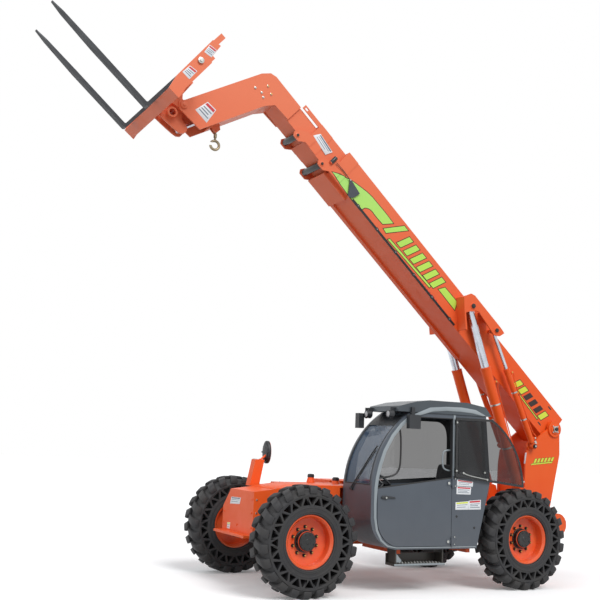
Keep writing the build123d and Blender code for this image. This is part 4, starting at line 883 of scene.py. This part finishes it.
# swung-back upper half of the door: black border, hinge bolts and stay
paneEdge = [(2.103, 1.4565)] + [(3.2335, 1.3325)] + arcPoints((3.2335, 1.3325), (3.094, 1.829), (2.699, 2.2135),
        16)[1:]
paneEdge += [(2.103, 2.2135)]
windowFace = 1.2225
border = slab(paneEdge, windowFace, windowFace + 0.0017)
cutAway(border, slab(grown(paneEdge, -0.03), 1.2, 1.25))
collect("window_border", "base", "sealRubber", border, sideFrame)
stay = bmesh.new()
pathTube(stay, [(1.23, 2.229, 1.503), (1.233, 2.29, 1.476), (1.233, 2.45, 1.452), (1.233, 2.618, 1.425)],
        0.0065)
finishPiece(stay, "window_stay", "base", "zincPlate")
for y, z in ((2.117, 1.53), (2.117, 2.15), (2.229, 1.503), (2.618, 1.425), (2.575, 1.515)):
    addDisc("window_bolts", "zincPlate", (windowFace, y, z), (windowFace + 0.0075, y, z), 0.013)
    addBolt("window_bolts", "zincPlate", 0.017, 0.008, (1.23, y, z), (1, 0, 0), y)

# door: lever handle with its key barrel, and hinge bolts
handle = slab([(0.995, 1.176), (1.022, 1.2), (1.082, 1.199), (1.205, 1.183), (1.212, 1.166), (1.085, 1.168),
        (1.03, 1.156)], outside, outside + 0.016, ease=0.005)
collect("handle", "door", "mouldedPlastic", handle, sideFrame)
addDisc("handle", "mouldedPlastic", (outside, 1.068, 1.176), (outside + 0.022, 1.068, 1.176), 0.021, 24,
        ease=0.003, body="door")
addDisc("key_barrel", "zincPlate", (outside + 0.022, 1.068, 1.176), (outside + 0.026, 1.068, 1.176), 0.012,
        ease=0.001, body="door")
for z in (0.635, 1.368):
    addDisc("hinge_bolts", "zincPlate", (1.191, 2.026, z), (1.198, 2.026, z), 0.018, 24, ease=0.0035,
            body="door")
    for dz in (-0.034, 0.058):
        addBolt("hinge_bolts", "zincPlate", 0.015, 0.007, (1.191, 2.125, z + dz), (1, 0, 0), dz * 9)

for corners, band, rules in (
        ([(2.157, 1.419), (2.417, 1.394), (2.412, 1.33), (2.154, 1.338)], "redVinyl", 2),
        ([(2.152, 1.33), (2.386, 1.322), (2.378, 1.228), (2.15, 1.232)], "redVinyl", 3),
        ([(2.139, 1.128), (2.35, 1.144), (2.35, 1.036), (2.137, 1.034)], "yellowVinyl", 2),
        ([(2.352, 1.15), (2.546, 1.164), (2.546, 1.04), (2.352, 1.036)], "redVinyl", 3)):
    blankPlate("base", sideFrame, corners, outside, band, rules)
for y, z in ((2.158, 0.95), (2.443, 0.807), (2.142, 0.663)):
    addDisc("plugs", "sealRubber", (outside, y, z), (outside + 0.004, y, z), 0.016)

# wiper: two parallel arms and a blade that lies on the screen
wiper = bmesh.new()
arm = [(0.7, 0.842, 1.262), (0.78, 0.864, 1.36), (0.935, 0.905, 1.57), (1.055, 0.972, 1.765)]
pathTube(wiper, arm, 0.008)
pathTube(wiper, [(x + 0.032, y - 0.002, z - 0.012) for x, y, z in arm], 0.006)
blade = [(0.87, 0.876, 1.44), (0.95, 0.908, 1.575), (1.03, 0.952, 1.71), (1.085, 0.995, 1.808)]
pathTube(wiper, [(x, y - 0.004, z) for x, y, z in blade], 0.009)
addParts(wiper, rod((0.7, 0.862, 1.262), (0.7, 0.834, 1.262), 0.02, 20, ease=0.003), machine)
addParts(wiper, rod((0.732, 0.862, 1.25), (0.732, 0.838, 1.25), 0.013, 20, ease=0.002), machine)
finishPiece(wiper, "wiper", "base", "mouldedPlastic")

# grab bars inside the doorway
frontBar = [(0.95, 1.405), (1.08, 1.424), (1.18, 1.436), (1.262, 1.475), (1.304, 1.56), (1.309, 1.7),
        (1.309, 1.9), (1.285, 2.05), (1.27, 2.086)]
rearBar = [(2.086, 1.79), (2.01, 1.786), (1.972, 1.755), (1.968, 1.66), (1.972, 1.58), (2.005, 1.534),
        (2.086, 1.524)]
for name, x, finish, points in (("front_grab_bar", 1.137, "blackEnamel", frontBar),
        ("rear_grab_bar", 1.12, "trimEnamel", rearBar)):
    bar = bmesh.new()
    pathTube(bar, [(x, y, z) for y, z in points], 0.0115, sides=4)
    finishPiece(bar, name, "base", finish)

# inside: dark trim over the rear post and the right wall, with a rounded window edge
trimOut = [(2.06, 2.195), (2.655, 2.195), (2.655, 1.38), (1.02, 1.3), (1.02, 1.322), (2.4, 1.412)]
trimOut += softened([(2.465, 1.44), (2.472, 1.8), (2.47, 2.02), (2.425, 2.12), (2.33, 2.172),
        (2.1, 2.18)], 2)
addSlab("inner_trim", "mouldedPlastic", trimOut, 0.5185, 0.5245)
addSlab("inner_trim", "mouldedPlastic", oblong(2.086, 1.44, 2.126, 2.19), 1.118, 1.1545)
addSlab("inner_trim", "mouldedPlastic", oblong(1.5, 2.249, 2.58, 2.262), 0.53, 1.14)

# lamps and mirrors; outlines seen from the front are drawn as (left, up), with their thickness to the front
frontDraw = Matrix(((1, 0, 0, 0), (0, 0, -1, 0), (0, 1, 0, 0), (0, 0, 0, 1)))
for x in (0.59, 1.12):
    lens = lathe([(0.0, 0.01), (0.018, 0.0085), (0.032, 0.004), (0.04, 0.0), (0.04, -0.002), (0.0, -0.002)],
            32)
    collect("lamp_lenses", "base", "lampGlass", lens, machine @ standOn((x, 1.115, 2.215), (0, -1, 0)))
    ring = lathe([(0.0385, 0.004), (0.047, 0.003), (0.048, -0.006), (0.0385, -0.006)], 32)
    collect("lamp_rings", "base", "mouldedPlastic", ring, machine @ standOn((x, 1.115, 2.215), (0, -1, 0)))
mirrorSet = [((0.446, 0.529), (2.036, 2.219), 1.1202), ((1.196, 1.258), (2.048, 2.208), 1.5202)]
for (low, high), (down, up), y in mirrorSet:
    glass = slab(oblong(low, down, high, up), -y - 0.002, -y, ease=0.0005)
    collect("mirror_glass", "base", "mirrorSilver", glass, machine @ frontDraw)
for x0 in (-0.52, 0.4):
    for index, finish in enumerate(("redLens", "redLens", "lampGlass")):
        a = x0 + 0.006 + index * 0.037
        lens = slab(oblong(a, 0.738, a + 0.034, 0.822), -4.654, -4.645, ease=0.002)
        collect("tail_lenses", "base", finish, lens, machine @ frontDraw)

# step: edge strip, gussets and grip buttons
addSlab("step_edge", "trimEnamel", oblong(1.242, 0.345, 2.008, 0.368), 1.1495, 1.1535, ease=0.001)
addSlab("step_gussets", "trimEnamel", [(1.262, 0.51), (1.355, 0.412), (1.355, 0.385), (1.262, 0.385)], 1.128,
        1.138, ease=0.001)
for row in range(4):
    for index in range(16):
        place = (0.992 + row * 0.042, 1.275 + index * 0.0465 + 0.02 * (row % 2), 0.372)
        cone = lathe([(0.0, 0.005), (0.006, 0.005), (0.01, 0.0), (0.0, 0.0)], 8)
        collect("step_buttons", "base", "zincPlate", cone, machine @ Matrix.Translation(place))


# foam pad: a box whose top is crowned and whose sides pull in between its corners
def padForm(size, crown, waist):
    bm = bmesh.new()
    bmesh.ops.create_cube(bm, size=2)
    bmesh.ops.subdivide_edges(bm, edges=bm.edges, cuts=12, use_grid_fill=True)
    for vert in bm.verts:
        u, v, w = vert.co
        full = 1 - 0.5 * (abs(u) ** 8 + abs(v) ** 8) * 0.1
        pull = 1 - waist * (1 - u * u) * (abs(v) ** 6) - waist * (1 - v * v) * (abs(u) ** 6)
        top = crown * (1 - abs(u) ** 2.5) * (1 - abs(v) ** 2.5) if w > -0.2 else 0
        channel = 0.01 * math.exp(-((abs(u) - 0.48) / 0.06) ** 2) * (1 - v ** 8) if w > 0.9 else 0
        edge = 1 - 0.07 * abs(w) ** 5
        vert.co = Vector((u * full * pull * edge * size[0] / 2, v * full * pull * edge * size[1] / 2,
                w * size[2] / 2 * (1 - 0.1 * (abs(u) ** 10 + abs(v) ** 10) / 2) + (top - channel) * max(w, 0)))
    return bm


seatSet = dict(size=(0.438, 0.498, 0.098), crown=0.022, backSize=(0.42, 0.64, 0.088), backCrown=0.018)
base = slab(oblong(1.79, 0.575, 2.14, 0.79), 0.68, 0.99, ease=0.01)
addParts(base, slab(oblong(1.76, 0.79, 2.17, 0.862), 0.65, 1.02, ease=0.006))
for index in range(5):   # bellows of the seat's suspension
    z = 0.6 + 0.036 * index
    addParts(base, slab(oblong(1.782, z, 2.148, z + 0.014), 0.672, 0.998, ease=0.005))
seatBase = finishPiece(base, "seat_base", "base", "mouldedPlastic", sideFrame)
pad = padForm(seatSet["size"], seatSet["crown"], 0.022)
seatCushion = finishPiece(pad, "seat_cushion", "base", "seatCloth",
        machine @ Matrix.Translation((0.835, 1.955, 0.912)), 60)
lean = Matrix.Rotation(math.radians(79.5), 4, "X")
pad = padForm(seatSet["backSize"], seatSet["backCrown"], 0.02)
seatBack = finishPiece(pad, "seat_back", "base", "seatCloth",
        machine @ Matrix.Translation((0.835, 2.222, 1.3)) @ lean, 60)
for piece in (seatBase, seatCushion, seatBack):
    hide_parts("seat")
for piece in (seatCushion, seatBack):
    smooth = piece.modifiers.new("smooth", "SUBSURF")
    smooth.levels = 1
    smooth.render_levels = 1
print("cab: trims, seals, plates, bars, lamps and seat")

# cylinders: gland ring, ports, a hard line along the barrel and its straps
portTurn = Matrix.Rotation(0.6, 4, "X")
# name, foot (rear, up), eye (along, up), place to the side, barrel radius and length
cylinders = [("lift", (3.905, 1.25), (2.36, 0.158), 0.344, 0.076, 1.865),
        ("slave", (4.15, 1.9), (1.828, 0.212), 0.366, 0.044, 1.218)]
for kind, foot, eye, x, radius, length in cylinders:
    low = machine @ Vector((x, *foot))
    high = boomFrame @ Vector((eye[0], x, eye[1]))
    way = (high - low).normalized()
    back = Vector((0, 1, 0)) - way * way.y
    back.normalize()
    frameHere = Matrix((way, back, Vector((1, 0, 0)))).transposed().to_4x4()
    frameHere = Matrix.Translation(low) @ frameHere
    topPort = 0.075 if kind == "slave" else 0.24   # clear of the boom's bracket when the boom is down
    for side, word in ((Matrix(), "left"), (mirrored, "right")):
        body = kind + "_barrel_" + word
        place = side @ frameHere
        ring = lathe([(radius, -0.014), (radius + 0.004, -0.014), (radius + 0.004, 0.014),
                (radius - 0.012, 0.014), (radius - 0.012, 0.011), (radius, 0.011)], 40)
        collect("gland", body, "boomEnamel", ring, place @ standOn((length - 0.013, 0, 0), (1, 0, 0)))
        for along in (0.105, length - topPort):
            block = oblong(along - 0.022, radius * 0.72, along + 0.022, radius + 0.02)
            addSlab("ports", "boomEnamel", block, -0.018, 0.018, ease=0.003, place=place @ portTurn, body=body)
            addBolt("port_fittings", "brass" if along > 1 else "zincPlate", 0.024, 0.016,
                    (along, radius + 0.02, 0), (0, 1, 0), place=place @ portTurn, body=body)
        line = bmesh.new()
        top = length - topPort
        # on the barrel's rear outer side: along the barrel, off its skin
        points = [(top, 0.036), (top - 0.01, 0.046), (top - 0.06, 0.03), (top - 0.12, 0.013),
                (length * 0.5, 0.013), (0.2, 0.013), (0.165, 0.03), (0.115, 0.046), (0.105, 0.036)]
        pathTube(line, [(along, radius + off, 0) for along, off in points], 0.0075, place=frameHere @ portTurn)
        if word == "right":
            bmesh.ops.transform(line, matrix=mirrored, verts=line.verts)
        finishPiece(line, body + "_line", body, "boomEnamel")
        for share in (0.35, 0.7):
            ring = lathe(oblong(radius, -0.011, radius + 0.0022, 0.011), 40)
            collect("line_straps", body, "zincPlate", ring, place @ standOn((length * share, 0, 0), (1, 0, 0)))
        if kind == "slave":
            port = slab([(0.012, 0.04), (0.062, 0.036), (0.062, 0.072), (0.012, 0.076)], -0.02, 0.02,
                    ease=0.003)
            collect("check_valve", body, "zincPlate", port, place)

# nose: blank plates, bolts, deck plate, filler caps
frontFrame = machine @ frontDraw
noseSet = dict(top=1.1805, front=0.4002, bend=0.28, slope=0.09 / 0.68)
blankPlate("base", frontFrame, [(-0.214, 1.077), (0.082, 1.083), (0.056, 1.002), (-0.259, 0.986)],
        noseSet["front"], "inkVinyl", 2)
blankPlate("base", frontFrame, [(-0.312, 0.745), (-0.217, 0.749), (-0.225, 0.668), (-0.321, 0.666)],
        noseSet["front"], "yellowVinyl", 2)
for x, z in ((0.43, 1.085), (0.43, 0.925), (0.43, 0.74), (-0.43, 0.88), (-0.43, 0.74), (0.0, 0.74)):
    addBolt("nose_bolts", "orangeEnamel", 0.024, 0.009, (x, -0.4, z), (0, -1, 0), x)
for y, z in ((-0.36, 1.083), (-0.36, 0.923), (0.6, 1.15), (0.6, 0.9)):
    addBolt("nose_bolts", "zincPlate", 0.022, 0.009, (0.48, y, z), (1, 0, 0), z)


def deckHeight(y):
    return noseSet["top"] + (min(y, noseSet["bend"]) + 0.4) * noseSet["slope"]


deck = slab([(-0.12, deckHeight(-0.12)), (0.28, deckHeight(0.28)), (1.16, 1.27), (1.16, 1.2745),
        (0.28, deckHeight(0.28) + 0.005), (-0.12, deckHeight(-0.12) + 0.005)], -0.27, 0.462, ease=0.001)
finishPiece(deck, "deck_plate", "base", "orangeEnamel", sideFrame)
for x, y in ((-0.245, 0.02), (-0.245, 0.3), (0.44, -0.09), (0.44, 0.3), (0.44, 0.72), (0.44, 1.12),
        (-0.245, 1.12), (0.1, 1.12)):
    collect("deck_bolts", "base", "zincPlate", hexHead(0.018, 0.007), machine @ Matrix.Translation((x, y,
            deckHeight(y) + 0.0045)) @ Matrix.Rotation(x * 9, 4, "Z"))
for x, y, z in ((-0.3, 0.8, 1.374), (-0.1, 1.08, 1.344)):
    cap = lathe([(0.0, 0.018), (0.03, 0.017), (0.04, 0.012), (0.0455, 0.004), (0.0455, -0.03),
            (0.0405, -0.03), (0.0405, -0.002), (0.0, -0.002)], 40)
    collect("filler_caps", "base", "mouldedPlastic", cap, machine @ Matrix.Translation((x, y, z)))
    for dx, dy in around(16, 0.0455, 0):   # grip ribs
        addDisc("filler_caps", "mouldedPlastic", (x + dx, y + dy, z - 0.026), (x + dx, y + dy, z + 0.004),
                0.0022, 6, ease=0)

# nose mirror: ribbed black housing with its glass, hose strip down the post, bolts on top
mirrorHead = dict(place=(-0.38, 0.157, 1.661), shell=(0.1035, 0.1525), rim=(0.08, 0.126),
        glass=(0.092, 0.14), ribs=(-0.07, -0.046, 0.046, 0.07), postWidth=0.0115)


def ellipse(wide, tall, count=40):
    return [(wide * math.cos(math.tau * k / count),
            tall * math.sin(math.tau * k / count)) for k in range(count)]


x, y, z = mirrorHead["place"]
backing = frontFrame @ Matrix.Translation((x, z, -y))
shell = slab(ellipse(*mirrorHead["shell"]), -0.018, 0.024, ease=0.01)
addParts(shell, slab(ellipse(*mirrorHead["rim"]), 0.02, 0.036, ease=0.007))
addParts(shell, slab(oblong(-0.098, -0.01, 0.098, 0.01), 0.015, 0.041, ease=0.004))
for shift in mirrorHead["ribs"]:
    wide = mirrorHead["rim"][0] * math.sqrt(1 - (shift / mirrorHead["rim"][1]) ** 2) * 0.9
    addParts(shell, slab(oblong(-wide, shift - 0.004, wide, shift + 0.004), 0.03, 0.039, ease=0.002))
finishPiece(shell, "nose_mirror_housing", "base", "mouldedPlastic", backing)
finishPiece(slab(ellipse(*mirrorHead["glass"]), -0.0195, -0.0175, ease=0.0005), "nose_mirror_glass", "base",
        "mirrorSilver", backing)
edging = bmesh.new()
pathTube(edging, [(-0.372, 0.04, 1.262), (-0.37, 0.052, 1.32), (-0.366, 0.08, 1.45),
        (-0.36, 0.098, 1.545), (-0.356, 0.118, 1.592), (-0.365, 0.138, 1.615)], mirrorHead["postWidth"])
finishPiece(edging, "mirror_post_edging", "base", "hoseRubber")
for px, py in ((-0.395, -0.03), (-0.35, -0.03), (-0.305, -0.03), (-0.395, 0.055), (-0.305, 0.055)):
    collect("post_bolts", "base", "zincPlate", hexHead(0.02, 0.008),
            machine @ Matrix.Translation((px, py, 1.562)))

# engine side: latches, louvre frames, plates, tank cap
engineFace = -1.1612
for y in (1.5, 2.18):
    addSlab("lid_keeper", "mouldedPlastic", oblong(y - 0.022, 1.22, y + 0.022, 1.262), -1.1715, -1.1645,
            ease=0.002, body="lid")
    addSlab("latches", "mouldedPlastic", oblong(y - 0.022, 1.15, y + 0.022, 1.208), -1.1715, -1.1595,
            ease=0.002)
for z in (0.744, 1.136):
    addSlab("louvre_frame", "orangeEnamel", oblong(1.375, z - 0.012, 2.345, z + 0.012), -1.1655, -1.1595,
            ease=0.0015)
for y in (1.26, 1.36, 2.36, 2.43):
    for z in (0.6, 1.1):
        addBolt("engine_bolts", "zincPlate", 0.018, 0.007, (-1.16, y, z), (-1, 0, 0), y)
blankPlate("base", sideFrame, oblong(1.56, 0.7, 1.76, 0.6), engineFace, "yellowVinyl", 3)
blankPlate("base", sideFrame, oblong(1.8, 0.69, 1.93, 0.6), engineFace, "redVinyl", 3)
cap = lathe([(0.0, 0.04), (0.034, 0.039), (0.046, 0.032), (0.05, 0.02), (0.05, 0.004), (0.058, 0.0),
        (0.0, 0.0)], 40)
collect("tank_cap", "base", "mouldedPlastic", cap, machine @ Matrix.Translation((-0.93, 1.03, 1.15)))
for y in (0.95, 1.13):
    band = slab(oblong(y - 0.018, 0.6, y + 0.018, 1.095), -1.1445, -1.1395, ease=0.001)
    collect("tank_straps", "base", "blackEnamel", band, sideFrame)
for x in (0.3, -0.3):   # on the counterweight
    addSlab("reflectors", "redLens", oblong(x - 0.045, 0.86, x + 0.045, 0.9), -4.609, -4.598, ease=0.002,
            place=frontFrame)
print("cylinders, nose and engine side: fittings, caps, plates and mirror")


for (kind, body, finish), bm in groups.items():
    label = body + "_" + kind + ("_" + finishNames[finish] if finish in finishNames else "")
    if kind in ("head_fittings", "head_pin_caps") or "bolts" in kind:
        label += "_" + finish.lower()
    finishPiece(bm, label, body, finish, sharp=30)
print("small parts:", len(groups), "joined pieces")
